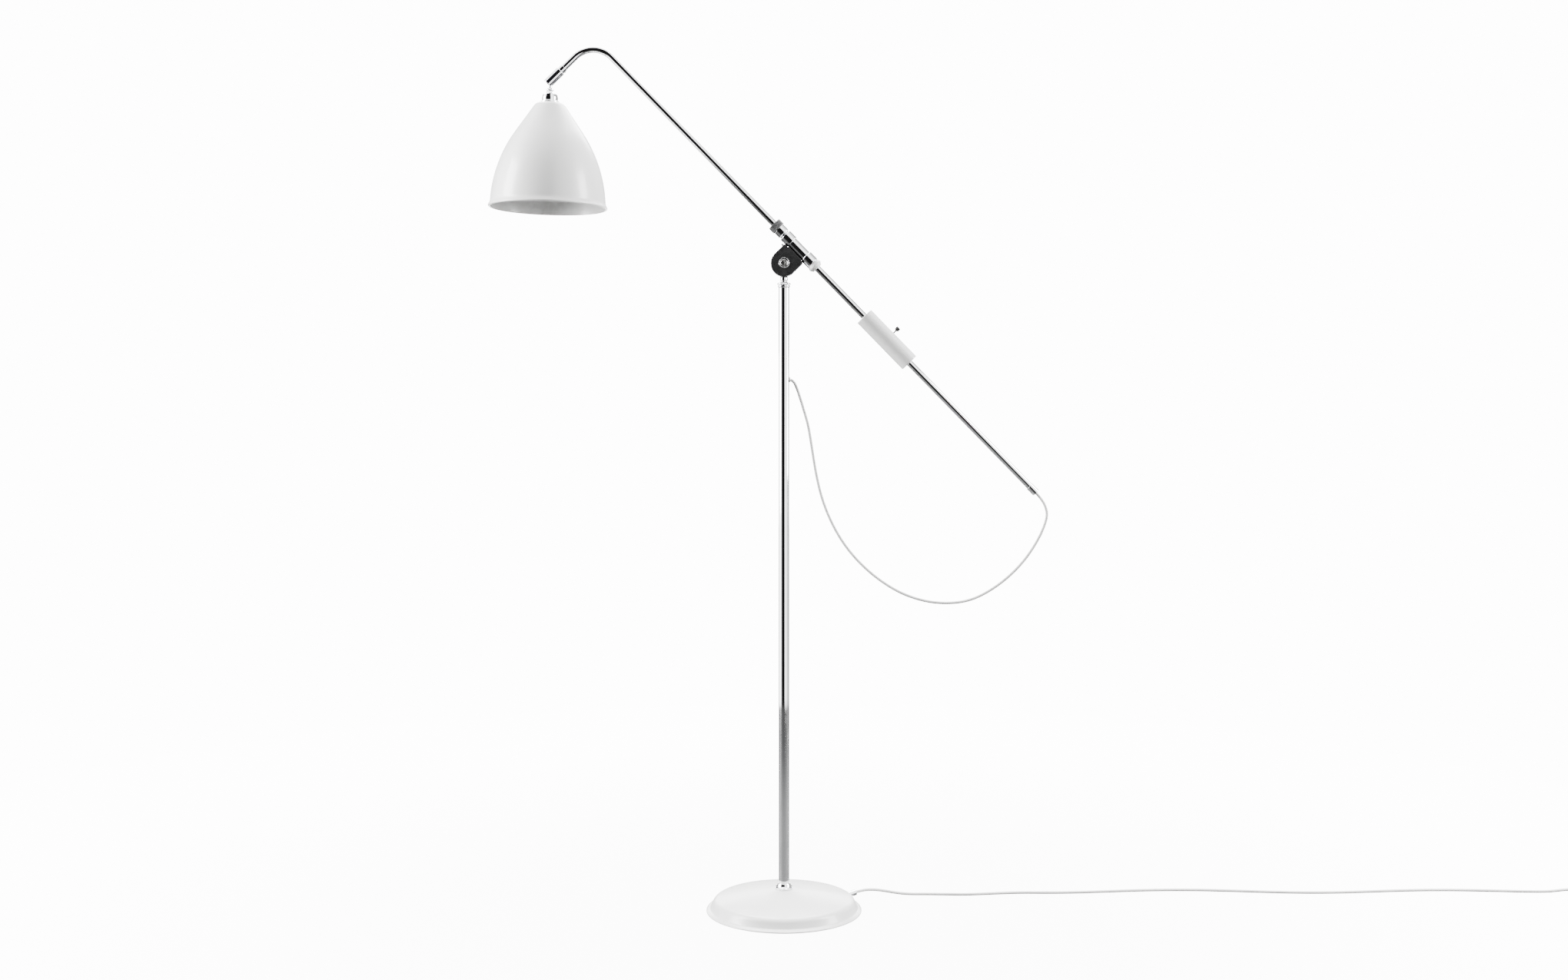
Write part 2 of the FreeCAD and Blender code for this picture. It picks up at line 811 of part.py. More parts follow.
def make_clevis():
    half = d.clevis_radius
    edge = d.arm_offset - d.sleeve_ring - d.free_fit
    seat = d.arm_offset - d.sleeve_waist - d.running_fit
    seat_start = d.clevis_seat_shift - d.clevis_seat_length / 2
    seat_end = d.clevis_seat_shift + d.clevis_seat_length / 2
    clevis = new_body("pivot_clevis", at(PIVOT, Y_AXIS, d.arm_slope.value))
    add_pad(
        clevis,
        d.clevis_thickness,
        [
            (size(0) - half, 0, size(0) - half),
            (0, size(0) - half, size(0) - half),
            (half, 0),
            (half, edge),
            (seat_end, edge),
            (seat_end, seat),
            (seat_start, seat),
            (seat_start, edge),
            (size(0) - half, edge),
        ],
        [(0, 0, d.bolt_radius + d.running_fit)],
    )
    gap = d.tongue_thickness + d.friction_washer * 2 + d.running_fit * 2
    slot_top = d.tongue_radius + d.clevis_slot_clearance
    cut(clevis, gap, box_outline(size(0) - half * 2, size(0) - half * 2, half * 2, slot_top))

    for side, name in ((1, "rear"), (-1, "front")):
        middle = (d.tongue_thickness + d.friction_washer) / 2 + d.running_fit
        start = middle * side + d.friction_washer / 2
        ring = box_outline(d.bolt_radius + d.running_fit, 0, d.tongue_radius - 1.0, d.friction_washer)
        turned(f"friction_washer_{name}", ring, across_pivot(start))

    half_depth = d.clevis_thickness / 2
    shank = d.clevis_thickness + d.bolt_tail
    head = d.bolt_head_radius
    head_top = shank + d.bolt_head_height
    bolt = turned(
        "pivot_bolt",
        [
            (0, 0),
            (d.bolt_radius, 0),
            (d.bolt_radius, shank),
            (head, shank),
            (head, head_top - 0.6),
            (head - 0.6, head_top),
            (0, head_top),
        ],
        across_pivot(half_depth + d.bolt_tail, -d.bolt_slot_turn.value),
    )
    slot_half = d.bolt_slot / 2
    slot = box_outline(size(0) - slot_half, head_top - d.bolt_slot, slot_half, head_top + 1.0)
    cut(bolt, head * 3, slot)
    rim = d.bezel_radius
    turned(
        "pivot_bezel",
        [
            (d.bezel_bore, 0),
            (rim, 0),
            (rim, d.bezel_height / 2),
            (rim - 0.6, d.bezel_height),
            (d.bezel_bore + 0.5, d.bezel_height),
            (d.bezel_bore, d.bezel_height / 2),
        ],
        across_pivot(size(0) - half_depth),
    )
    nut_place = across_pivot(half_depth + d.pivot_nut_height)
    nut_bore = d.bolt_radius + d.running_fit
    hex_nut("pivot_nut", d.pivot_nut_corner, d.pivot_nut_height, nut_bore, nut_place)

    head_place = FreeCAD.Placement(
        PIVOT + UPWARD * (edge - d.clevis_screw_drop).value - TAILWARD * half.value,
        FreeCAD.Rotation(Z_AXIS, TAILWARD * -1),
    )
    head = d.clevis_screw_radius
    long = d.clevis_screw_length
    head_outline = [(0, 0), (head, 0), (head, long - 1.6), (head - 0.6, long), (0, long)]
    turned("clevis_screw", head_outline, head_place)


def make_sleeve():
    ring = d.sleeve_ring
    bore = sleeve_bore
    mouth = d.nose_length
    neck = mouth + d.mouth_length
    first = neck + d.neck_length
    waist = first + d.ring_length
    second = waist + d.waist_length
    end = d.nose_length + d.sleeve_top + d.sleeve_tail
    turned(
        "sleeve_tube",
        [
            (bore, 0),
            (d.nose_radius, 0),
            (d.nose_radius, mouth),
            (d.sleeve_mouth, mouth),
            (d.sleeve_mouth, neck - 0.5),
            (d.sleeve_neck, neck + 0.5),
            (d.sleeve_neck, first - 0.8),
            (ring, first),
            (ring, waist - 0.8),
            (d.sleeve_waist, waist),
            (d.sleeve_waist, second - 0.8),
            (ring, second),
            (ring, end - 0.6),
            (ring - 0.6, end),
            (bore, end),
        ],
        on_arm(size(0) - d.sleeve_top - d.nose_length),
    )
    grip = d.arm_radius + d.running_fit
    collet = turned(
        "sleeve_collet",
        box_outline(grip, 0, bore - d.running_fit, d.collet_length),
        on_arm(size(0) - d.sleeve_top - d.nose_length),
    )
    slit = box_outline(size(0) - bore * 2, -1, bore * 2, d.collet_length * 0.6)
    cut(collet, d.collet_slit, slit)

    face = d.nut_face
    nut = d.nut_radius
    turned(
        "collet_nut",
        [
            (d.arm_radius + d.free_fit, 0),
            (nut - 0.9, 0),
            (nut, 0.9),
            (nut, d.nut_length - 0.9),
            (nut - 0.9, d.nut_length),
            (d.nose_radius + d.running_fit, d.nut_length),
            (d.nose_radius + d.running_fit, face),
            (d.arm_radius + d.free_fit, face),
        ],
        on_arm(size(0) - d.sleeve_top - d.nose_length - face - d.free_fit),
    )
    spigot = d.bush_spigot + d.free_fit
    cone = d.bush_length
    turned(
        "arm_bush",
        [
            (grip, 0),
            (bore - d.running_fit, 0),
            (bore - d.running_fit, spigot),
            (d.bush_radius - 2.0, spigot),
            (d.bush_radius, spigot + cone * 0.45),
            (d.bush_radius, spigot + cone * 0.55),
            (d.bush_radius - 3.8, spigot + cone),
            (grip, spigot + cone),
        ],
        on_arm(d.sleeve_tail - d.bush_spigot),
    )


# ---------------------------------------------------------------- arm


def arm_pipe(label, radius, wall, tail_trim, end_trim):
    """A round tube, or a round rod where the wall is None, along the arm and its bent end."""
    tail = d.arm_tail - tail_trim
    place = at(ARM_FOOT + TAILWARD * tail.value, Y_AXIS, d.arm_slope.value - 90)
    body = new_body(label, place)
    section = new_sketch(body, "XY_Plane")
    draw_circle(section, 0, 0, radius)
    if wall is not None:
        draw_circle(section, 0, 0, radius - wall)
    straight = tail + d.arm_corner - d.arm_bend
    bend = d.arm_bend
    way = new_sketch(body)
    run = [
        (0, 0),
        (0, straight, size(0) - bend),
        (size(0) - bend, straight + bend),
        (size(0) - d.arm_end + end_trim, straight + bend),
    ]
    draw_outline(way, run, closed=False)
    doc.recompute()
    pipe = body.newObject("PartDesign::AdditivePipe", label + "_pipe")
    pipe.Profile = section
    pipe.Spine = (way, ["Edge1", "Edge2", "Edge3"])
    section.Visibility = False
    way.Visibility = False
    return body


def make_arm():
    arm_pipe("arm_tube", d.arm_radius, d.arm_wall, size(0), size(0))
    arm_pipe("arm_flex", d.cord_radius, None, size(2), size(4))
    grip = d.arm_radius + d.running_fit
    inside = d.ferrule_length - d.ferrule_lip
    ferrule = d.arm_radius + d.ferrule_wall
    turned(
        "tail_ferrule",
        [
            (grip, 0),
            (ferrule, 0),
            (ferrule, d.ferrule_length - 0.7),
            (ferrule - 0.7, d.ferrule_length),
            (d.cord_radius + d.running_fit, d.ferrule_length),
            (d.cord_radius + d.running_fit, inside + d.running_fit),
            (grip, inside + d.running_fit),
        ],
        on_arm(d.arm_tail - inside),
    )
    collar = turned(
        "end_collar",
        box_outline(grip, 0, end_collar_radius, d.end_collar_length),
        on_arm_end(d.end_collar_start),
    )
    screw_radius = d.end_screw_radius
    middle = d.end_collar_length / 2
    cut(
        collar,
        end_collar_radius,
        circles=[(0, middle, screw_radius + d.running_fit)],
        role="YZ_Plane",
        offset=size(0) - end_collar_radius,
    )
    foot = ARM_CORNER + ENDWARD * (d.end_collar_start + middle).value + TAILWARD * grip.value
    reach = d.end_collar_wall + 1.0
    turned(
        "collar_screw",
        [
            (0, 0),
            (screw_radius, 0),
            (screw_radius, reach - 0.4),
            (screw_radius - 0.4, reach),
            (0, reach),
        ],
        FreeCAD.Placement(foot, FreeCAD.Rotation(Z_AXIS, TAILWARD)),
    )


# ---------------------------------------------------------------- counterweight


def make_counterweight():
    bore = d.arm_radius + d.running_fit * 2
    edge = d.weight_edge
    length = d.weight_length
    outer = d.weight_radius
    weight = turned(
        "counterweight",
        [
            (bore, 0),
            (outer - edge, 0, size(0) - edge),
            (outer, edge),
            (outer, length - edge, size(0) - edge),
            (outer - edge, length),
            (bore, length),
        ],
        on_arm(d.weight_start),
    )
    cut(
        weight,
        outer * 2 - bore,
        circles=[(0, length / 2, d.screw_radius + d.running_fit)],
        role="YZ_Plane",
        offset=size(0) - outer,
    )
    tip = d.arm_radius + d.free_fit
    stem = outer + d.screw_stand - tip
    head = d.screw_head
    top = stem + d.screw_head_height
    middle = ARM_FOOT + TAILWARD * (d.weight_start + length / 2).value
    turned(
        "thumbscrew",
        [
            (0, 0),
            (d.screw_radius, 0),
            (d.screw_radius, stem),
            (head - 0.5, stem),
            (head, stem + 0.5),
            (head, top - 0.8),
            (head - 0.8, top),
            (0, top),
        ],
        FreeCAD.Placement(middle + UPWARD * tip.value, FreeCAD.Rotation(Z_AXIS, UPWARD)),
    )


# ---------------------------------------------------------------- knuckle and ball


def make_knuckle():
    outer = d.ball_radius + d.knuckle_wall
    length = d.knuckle_length
    chamber = d.ball_radius + d.free_fit
    lip = d.ball_radius - d.knuckle_lip
    grip = d.arm_radius + d.running_fit
    arm_depth = d.arm_end - knuckle_start + 0.5
    ball_up = length - d.ball_inset
    knuckle = turned(
        "knuckle_socket",
        [
            (grip, 0),
            (outer - 0.8, 0),
            (outer, 0.8),
            (outer, length - 1.0),
            (outer - 1.0, length),
            (lip, length),
            (lip, length - 1.2),
            (chamber, length - 3.1),
            (chamber, arm_depth + 0.8),
            (grip, arm_depth),
        ],
        on_arm_end(knuckle_start),
    )
    slot_half = d.stem_radius + d.slot_side
    slot = box_outline(size(0) - outer * 2, ball_up - slot_half, 0, length + 1.0)
    cut(knuckle, slot_half * 2, slot)

    seat_length = ball_up - d.ball_radius - arm_depth - 0.8 - d.free_fit * 2
    seat = box_outline(d.seat_bore, 0, chamber - d.running_fit, seat_length)
    turned("ball_seat", seat, on_arm_end(knuckle_start + arm_depth + 0.8 + d.free_fit / 2))

    spigot = d.stem_length
    shelf = d.shade_start - d.gallery_height - 1.0
    ring = d.stem_radius + 3.2
    stem = d.stem_radius
    ball = d.ball_radius
    turned(
        "ball_stem",
        [
            (d.stem_bore, 0),
            (stem, 0),
            (stem, spigot - shelf),
            (stem + 1.2, spigot - shelf),
            (ring, spigot - shelf + 1.0),
            (ring, spigot - shelf + 2.0),
            (stem + 1.0, spigot - shelf + 4.6),
            (stem, spigot - shelf + 5.0),
            (stem, spigot - root_of(ball, stem), size(0) - ball),
            (d.stem_bore, spigot + root_of(ball, d.stem_bore)),
        ],
        under_ball(spigot),
    )
    nut_depth = d.shade_start - d.gallery_height + d.gallery_wall + 2.0
    nut_place = under_ball(nut_depth + d.stem_nut_height)
    hex_nut("stem_nut", d.stem_nut_corner, d.stem_nut_height, stem + d.running_fit, nut_place)


# ---------------------------------------------------------------- shade and lampholder


def make_shade():
    gallery_foot = d.shade_start - d.running_fit
    top = d.gallery_height
    hole = d.stem_radius + d.running_fit
    skin = d.gallery_wall
    bulge = d.gallery_radius
    holder = d.holder_radius
    turned(
        "shade_gallery",
        [
            (holder + 0.1, 0),
            (d.gallery_flange - 0.6, 0),
            (d.gallery_flange, 0.7),
            (d.gallery_flange, 1.3),
            (d.gallery_flange - 0.6, 1.9),
            (bulge - 0.5, 3.4),
            (bulge, 5.6),
            (bulge, 8.4),
            (bulge - 1.1, 13.9),
            (bulge - 1.8, 14.3, 9.0),
            (hole + 2.5, top),
            (hole, top),
            (hole, top - skin),
            (hole + 2.1, top - skin, -8.0),
            (bulge - 3.1, 13.5),
            (bulge - 2.3, 13.1),
            (bulge - 1.7, 8.4),
            (holder + 0.1, 4.6),
        ],
        under_ball(gallery_foot),
    )
    length = d.holder_length
    holder_foot = gallery_foot + length - 1.0
    shell = d.bulb_cap_radius + 0.7
    turned(
        "lampholder",
        [
            (shell, 0),
            (holder, 0),
            (holder, length + 2.2),
            (holder - 1.5, length + 2.2),
            (holder - 1.5, length + 9.5),
            (2.2, length + 9.5),
            (2.2, length - 6.0),
            (shell, length - 6.0),
        ],
        under_ball(holder_foot),
    )
    ring_top = d.shade_start + d.shade_wall + d.free_fit
    ring = box_outline(holder + d.running_fit, 0, d.ring_radius, d.ring_height)
    turned("shade_ring", ring, under_ball(ring_top + d.ring_height))

    height = d.shade_height
    wall = d.shade_wall
    shade_hole = holder + d.free_fit
    rim = d.shade_radius + d.rim_stand
    rim_up = d.rim_height
    slant = wall * 0.824
    dip = wall * 0.566
    turned(
        "shade",
        [
            (shade_hole, height),
            (d.shade_flat, height, d.shade_shoulder),
            (d.shoulder_radius, height - d.shoulder_drop),
            (d.cone_radius, height - d.cone_drop, d.shade_belly),
            (d.shade_radius, d.belly_height, -20.0),
            (rim, rim_up, rim_up * 0.55),
            (rim - wall * 1.2, 0),
            (d.shade_radius - wall * 0.5, wall),
            (d.shade_radius - wall * 0.5, rim_up),
            (d.shade_radius - wall, d.belly_height, wall - d.shade_belly),
            (d.cone_radius - slant, height - d.cone_drop - dip),
            (d.shoulder_radius - slant, height - d.shoulder_drop - dip, wall - d.shade_shoulder),
            (d.shade_flat, height - wall),
            (shade_hole, height - wall),
        ],
        under_ball(d.shade_start + height),
    )

    cap_foot = holder_foot - 1.5
    cap = d.bulb_cap_radius
    turned(
        "bulb_cap",
        [(0, 0), (cap, 0), (cap, 17), (cap - 2.9, 19.5), (cap - 4.4, 20.5), (0, 20.5)],
        under_ball(cap_foot),
    )
    globe = d.bulb_radius
    glass = d.bulb_glass_wall
    neck = cap - 0.1
    bulb_height = globe + d.bulb_neck_length
    shoulder = globe * 0.645
    shoulder_up = globe + root_of(globe, shoulder)
    inner = globe - glass
    inner_shoulder = inner * 0.645
    inner_up = globe + root_of(inner, inner_shoulder)
    turned(
        "bulb_glass",
        [
            (0, 0, size(0) - globe),
            (globe, globe, size(0) - globe),
            (shoulder, shoulder_up, 14.0),
            (neck, bulb_height - 2.0),
            (neck, bulb_height),
            (neck - glass, bulb_height),
            (neck - glass, bulb_height - 2.0, -14.0),
            (inner_shoulder, inner_up, inner),
            (inner, globe, inner),
            (0, glass),
        ],
        under_ball(cap_foot + bulb_height),
    )


# ---------------------------------------------------------------- switch and plug on the mains lead

SWITCH = FreeCAD.Vector(1493, 105.5, 0)
COIL = FreeCAD.Vector(1590, 139.5, 0)
PLUG = FreeCAD.Vector(1548, 173.5, 0)


def stadium(length, width):
    """A rectangle's outline with round ends, about the origin."""
    half = width / 2
    straight = (length - width) / 2
    return [
        (size(0) - straight, size(0) - half),
        (straight, size(0) - half, size(0) - half),
        (straight + half, 0, size(0) - half),
        (straight, half),
        (size(0) - straight, half, size(0) - half),
        (size(0) - straight - half, 0, size(0) - half),
    ]


def make_switch():
    parting = d.switch_height / 2
    wall = d.switch_wall
    bore = d.cord_radius + d.running_fit
    for name, start in (("switch_base", 0.0), ("switch_cover", parting)):
        shell = new_body(name, at(SWITCH + Z_AXIS * size(start).value))
        outer = stadium(d.switch_length, d.switch_width)
        pad = add_pad(shell, parting, outer, role="XY_Plane")
        pad.SideType = "One side"
        floor = wall if name == "switch_base" else 0.0
        deep = parting - wall
        hollow = stadium(d.switch_length - wall * 2, d.switch_width - wall * 2)
        cut(shell, deep, hollow, role="XY_Plane", offset=deep / 2 + floor)
        exit_up = parting if name == "switch_base" else size(0)
        cut(shell, d.switch_length * 2, circles=[(0, exit_up, bore)], role="YZ_Plane")
        if name == "switch_cover":
            window = box_outline(
                size(0) - d.rocker_length / 2 - d.free_fit,
                size(0) - d.rocker_width / 2 - d.free_fit,
                d.rocker_length / 2 + d.free_fit,
                d.rocker_width / 2 + d.free_fit,
            )
            cut(shell, d.switch_height * 2, window, role="XY_Plane")

    pivot = SWITCH + Z_AXIS * (d.switch_height - d.rocker_pin_drop).value
    reach = d.rocker_length / 2
    side = reach * 0.95
    drop = root_of(reach, side)
    rocker = new_body("switch_rocker", at(pivot))
    add_pad(
        rocker,
        d.rocker_width,
        [
            (size(0) - side, size(0) - drop),
            (side, size(0) - drop, size(0) - reach),
            (side, drop, size(0) - reach * 2),
            (size(0) - side, drop, size(0) - reach),
        ],
        [(0, 0, d.rocker_pin_radius + d.running_fit)],
    )
    pin_length = d.switch_width - wall * 2 - d.running_fit * 4
    pin_place = at(pivot + Y_AXIS * (pin_length / 2).value, FreeCAD.Vector(1, 0, 0), 90)
    turned("rocker_pin", box_outline(0, 0, d.rocker_pin_radius, pin_length), pin_place)


def make_plug():
    middle = d.plug_height / 2
    axis = PLUG + Z_AXIS * middle.value
    half = d.plug_width / 2
    body = new_body("plug_body", at(axis))
    add_pad(
        body,
        d.plug_height,
        [
            (0, size(0) - half * 0.4),
            (0, half * 0.4),
            (size(0) - d.plug_length * 0.45, half, 18.0),
            (size(0) - d.plug_length * 0.9, half * 0.86),
            (size(0) - d.plug_length, half * 0.7),
            (size(0) - d.plug_length, half * -0.7),
            (size(0) - d.plug_length * 0.9, half * -0.86, 18.0),
            (size(0) - d.plug_length * 0.45, size(0) - half),
        ],
        role="XY_Plane",
    )
    neck = d.plug_neck
    bore = d.cord_radius + d.running_fit
    place = FreeCAD.Placement(axis, FreeCAD.Rotation(Z_AXIS, FreeCAD.Vector(1, 0, 0)))
    turned(
        "plug_neck",
        [(bore, 0), (middle - 1.5, 0), (bore + 1.2, neck), (bore, neck)],
        place,
    )
    pins = []
    for side in (-1, 1):
        foot = axis + FreeCAD.Vector(-d.plug_length.value, side * d.pin_spacing.value / 2, 0)
        away = FreeCAD.Vector(-1, 0, 0)
        straight = d.pin_length.value - d.pin_radius.value
        shank = Part.makeCylinder(d.pin_radius.value, straight, foot, away)
        tip = Part.makeSphere(d.pin_radius.value, foot + away * straight)
        pins.append(shank.fuse(tip).removeSplitter())
    loose_shape("plug_pins", Part.makeCompound(pins))


# ---------------------------------------------------------------- cords

GRIP_END = GLAND_FOOT + GLAND_WAY * d.gland_length.value
SWITCH_CORD_UP = d.switch_height.value / 2
LEAD_ROUTE = [
    (144, 52.6, 21.2),
    (163, 61, 19.5),
    (184, 71, 14.2),
    (206, 80.5, 7.6),
    (230, 88, 3.4),
    (260, 91.5, 2.5),
    (296, 90, 2.5),
    (338, 88.5, 2.5),
    (384, 95, 2.5),
    (432, 101, 2.5),
    (484, 99.5, 2.5),
    (538, 101.5, 2.5),
    (594, 107.5, 2.5),
    (652, 114.5, 2.5),
    (712, 118, 2.5),
    (772, 117, 2.5),
    (832, 111.5, 2.5),
    (892, 104.5, 2.5),
    (952, 100, 2.5),
    (1012, 100.5, 2.5),
    (1072, 106, 2.5),
    (1132, 113, 2.5),
    (1192, 117, 2.5),
    (1252, 116.5, 2.5),
    (1312, 112, 2.5),
    (1366, 107.5, 2.5),
    (1408, 105.8, 2.6),
    (1438, 105.4, 6.2),
]
LOOP_ROUTE = [
    (16.6, 941.6),
    (21.8, 932),
    (28, 914),
    (35.5, 889),
    (43.5, 862),
    (50, 820),
    (57, 776),
    (67, 733),
    (83, 692),
    (105, 653),
    (133, 619),
    (167, 589),
    (207, 564),
    (250, 549.5),
    (292, 545.5),
    (332, 551),
    (368, 569),
    (400, 593),
    (427, 621),
    (447, 650),
    (461, 677),
    (469, 702),
    (465.5, 719),
    (457.5, 732.5),
]
LOOP_SPLITS = (6, 15, 18)


def make_cords():
    switch_in = SWITCH - FreeCAD.Vector(d.switch_length.value / 2, 0, -SWITCH_CORD_UP)
    cord_tube("mains_lead", [tuple(GRIP_END)] + LEAD_ROUTE + [tuple(switch_in)])
    switch_out = SWITCH + FreeCAD.Vector(d.switch_length.value / 2, 0, SWITCH_CORD_UP)
    coil_outer = (d.coil_middle + d.coil_width / 2).value
    lift = d.cord_radius.value
    entry = (COIL.x, COIL.y - coil_outer + lift, lift)
    between = [(1545, 105.7, 5.4), (1567, 105.5, 3.0)]
    cord_tube("switch_lead", [tuple(switch_out)] + between + [entry])
    exit_up = d.coil_height.value - lift
    exit_way = COIL.y + coil_outer - lift
    plug_up = d.plug_height.value / 2
    neck_end = PLUG.x + d.plug_neck.value
    cord_tube(
        "plug_lead",
        [(COIL.x, exit_way, exit_up), (COIL.x - 11, exit_way, exit_up - 0.2), (neck_end, PLUG.y, plug_up)],
    )
    width = d.coil_width
    inner = d.coil_middle - width / 2
    outer = d.coil_middle + width / 2
    edge = d.cord_radius
    turned(
        "lead_coil",
        [
            (inner + edge, 0),
            (outer - edge, 0, size(0) - edge),
            (outer, edge),
            (outer, d.coil_height - edge, size(0) - edge),
            (outer - edge, d.coil_height),
            (inner + edge, d.coil_height, size(0) - edge),
            (inner, d.coil_height - edge),
            (inner, edge, size(0) - edge),
        ],
        at(COIL),
    )

    face = (d.post_radius - d.grommet_inset + d.grommet_seat + d.grommet_stand).value
    start = (face, 0, grommet_height.value)
    tail_face = ARM_FOOT + TAILWARD * (d.arm_tail + d.ferrule_lip).value
    loop = [start] + [(across, 0, up) for across, up in LOOP_ROUTE] + [tuple(tail_face)]
    names = ("loop_cord_post", "loop_cord_drop", "loop_cord_rise", "loop_cord_tail")
    first = 0
    joint = None
    for name, last in zip(names, LOOP_SPLITS + (len(loop) - 1,)):
        piece = loop[first : last + 1]
        if joint is not None:
            piece = [joint] + piece
        if last < len(loop) - 1:
            joint = tuple((a + b) / 2 for a, b in zip(loop[last], loop[last + 1]))
            piece = piece + [joint]
        cord_tube(name, piece)
        first = last + 1


def make_inner_flex():
    """The flex from the gland through the base and up the post to the grommet."""
    start = GLAND_FOOT - GLAND_WAY * d.gland_depth.value
    way = FreeCAD.Vector(math.cos(AZIMUTH), math.sin(AZIMUTH), 0)
    low = d.pad_thickness.value + d.cord_radius.value + 0.6
    channel = d.channel_floor.value + d.cord_radius.value + 0.3
    inner_end = (post_bore - d.grommet_inset).value
    up = grommet_height.value
    side = -2.6
    points = [
        tuple(start),
        tuple(way * 88 + Z_AXIS * (channel + 1.5)),
        tuple(way * 52 + Z_AXIS * channel),
        tuple(way * 22.5 + Z_AXIS * channel),
        tuple(way * 12 + Z_AXIS * (low + 0.2)),
        (0, 0, low + 0.4),
        (0, 0, low + 26),
        (0.3, 0.2, 90),
        (0, 0, up - 60),
        (side, 0, up - 20),
        (side, 0.1, up - 3.0),
        (inner_end, 0, up),
    ]
    cord_tube("post_flex", points)


# ---------------------------------------------------------------- build, check and write

make_base()
make_gland()
make_post()
make_head()
make_clevis()
make_sleeve()
make_arm()
make_counterweight()
make_knuckle()
make_shade()
make_switch()
make_plug()
make_cords()
make_inner_flex()
doc.recompute()

for item in doc.Objects:
    if "Invalid" in item.State or "Error" in item.State:
        raise RuntimeError(f"{item.Label} failed: {item.State}")
for sketch in doc.findObjects("Sketcher::SketchObject"):
    if not sketch.FullyConstrained:
        raise RuntimeError(f"{sketch.Label} isn't fully constrained")
for part in parts:
    if part.Shape.isNull() or not part.Shape.isValid() or not part.Shape.Solids:
        raise RuntimeError(f"{part.Label} has no valid solid")

os.makedirs("parts", exist_ok=True)
for part in parts:
    part.Shape.exportStep(f"parts/{part.Label}.step")
print(f"{len(parts)} sub-parts written")
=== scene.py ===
import json
import math

import bmesh
import bpy
import numpy as np
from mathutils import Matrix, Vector


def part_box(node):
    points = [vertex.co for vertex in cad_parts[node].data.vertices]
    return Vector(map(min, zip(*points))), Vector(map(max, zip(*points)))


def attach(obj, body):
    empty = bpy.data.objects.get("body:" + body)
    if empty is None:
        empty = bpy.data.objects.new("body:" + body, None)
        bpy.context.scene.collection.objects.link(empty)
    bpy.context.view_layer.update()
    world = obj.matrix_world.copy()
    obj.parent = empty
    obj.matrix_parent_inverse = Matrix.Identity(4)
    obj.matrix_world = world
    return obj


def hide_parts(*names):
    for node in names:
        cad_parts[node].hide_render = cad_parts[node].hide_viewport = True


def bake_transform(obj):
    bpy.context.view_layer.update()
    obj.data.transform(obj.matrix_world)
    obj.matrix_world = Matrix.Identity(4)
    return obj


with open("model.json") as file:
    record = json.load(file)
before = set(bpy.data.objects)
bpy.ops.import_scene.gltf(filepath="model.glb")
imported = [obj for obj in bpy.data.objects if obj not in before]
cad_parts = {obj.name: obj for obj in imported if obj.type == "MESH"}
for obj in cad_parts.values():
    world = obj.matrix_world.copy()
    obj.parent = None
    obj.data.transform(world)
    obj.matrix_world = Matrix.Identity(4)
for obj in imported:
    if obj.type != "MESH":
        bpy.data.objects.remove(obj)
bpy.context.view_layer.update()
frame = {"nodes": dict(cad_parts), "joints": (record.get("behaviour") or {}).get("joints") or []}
print("frame loaded")

mm = 0.001
scene = bpy.context.scene
jointNamed = {joint["name"]: joint for joint in frame["joints"]}


def unit(vector):
    vector = np.asarray(vector, float)
    return vector / np.linalg.norm(vector)


def jointPoint(name):
    return np.array(jointNamed[name]["pos_m"], float)


def jointAxis(name):
    return unit(jointNamed[name]["axis"])


def boxMiddle(node):
    low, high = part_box(node)
    return (np.array(low) + np.array(high)) / 2


def placeAt(origin, along, across):
    # a 4 x 4 place: local Z runs along, local X lies as near to across as it can
    along = unit(along)
    side = unit(np.cross(along, across))
    place = np.eye(4)
    place[:3, 0] = np.cross(side, along)
    place[:3, 1] = side
    place[:3, 2] = along
    place[:3, 3] = origin
    return place


# the lines that the lamp is set out on, read from its joints
front = np.array((0.0, -1.0, 0.0))
skyward = np.array((0.0, 0.0, 1.0))
pivot = jointPoint("arm_tilt")
armFoot = jointPoint("arm_roll")
tailward = jointAxis("arm_roll")
upward = unit(armFoot - pivot)
endward = jointAxis("knuckle_swivel")
armEnd = 94.0
armCorner = jointPoint("knuckle_swivel") - endward * armEnd * mm
ball = jointPoint("shade_tilt")
shadeUp = jointAxis("shade_turn")


def onPost(height):
    return placeAt(skyward * height * mm, skyward, (1, 0, 0))


def onArm(distance):
    return placeAt(armFoot + tailward * distance * mm, tailward, upward)


def onArmEnd(distance):
    return placeAt(armCorner + endward * distance * mm, endward, tailward)


def underBall(depth):
    return placeAt(ball - shadeUp * depth * mm, shadeUp, (1, 0, 0))


def throughPivot(forward):
    return placeAt(pivot + front * forward * mm, front, (1, 0, 0))


# camera, level and square to the arm's plane

cameraSet = dict(back=2.934, height=0.875, lens=37.85, sensor=36.0, shift=-0.0456)
camera = bpy.data.cameras.new("camera")
camera.lens = cameraSet["lens"]
camera.sensor_width = cameraSet["sensor"]
camera.shift_y = cameraSet["shift"]
cameraObject = bpy.data.objects.new("camera", camera)
cameraObject.location = (0, -cameraSet["back"], cameraSet["height"])
cameraObject.rotation_euler = (math.pi / 2, 0, 0)
scene.collection.objects.link(cameraObject)
scene.camera = cameraObject
print("camera placed")

# materials


def addNode(tree, kind, **values):
    # a shader node with fixed values on its inputs, where From_Min stands for "From Min"
    node = tree.nodes.new("ShaderNode" + kind)
    for label, value in values.items():
        node.inputs[label.replace("_", " ")].default_value = value
    return node


def addMix(tree, **colours):
    # a colour mix with fixed colours at A, at B or at both
    mix = addNode(tree, "Mix")
    mix.data_type = "RGBA"
    for end, colour in colours.items():
        mix.inputs[end].default_value = (*colour, 1)
    return mix


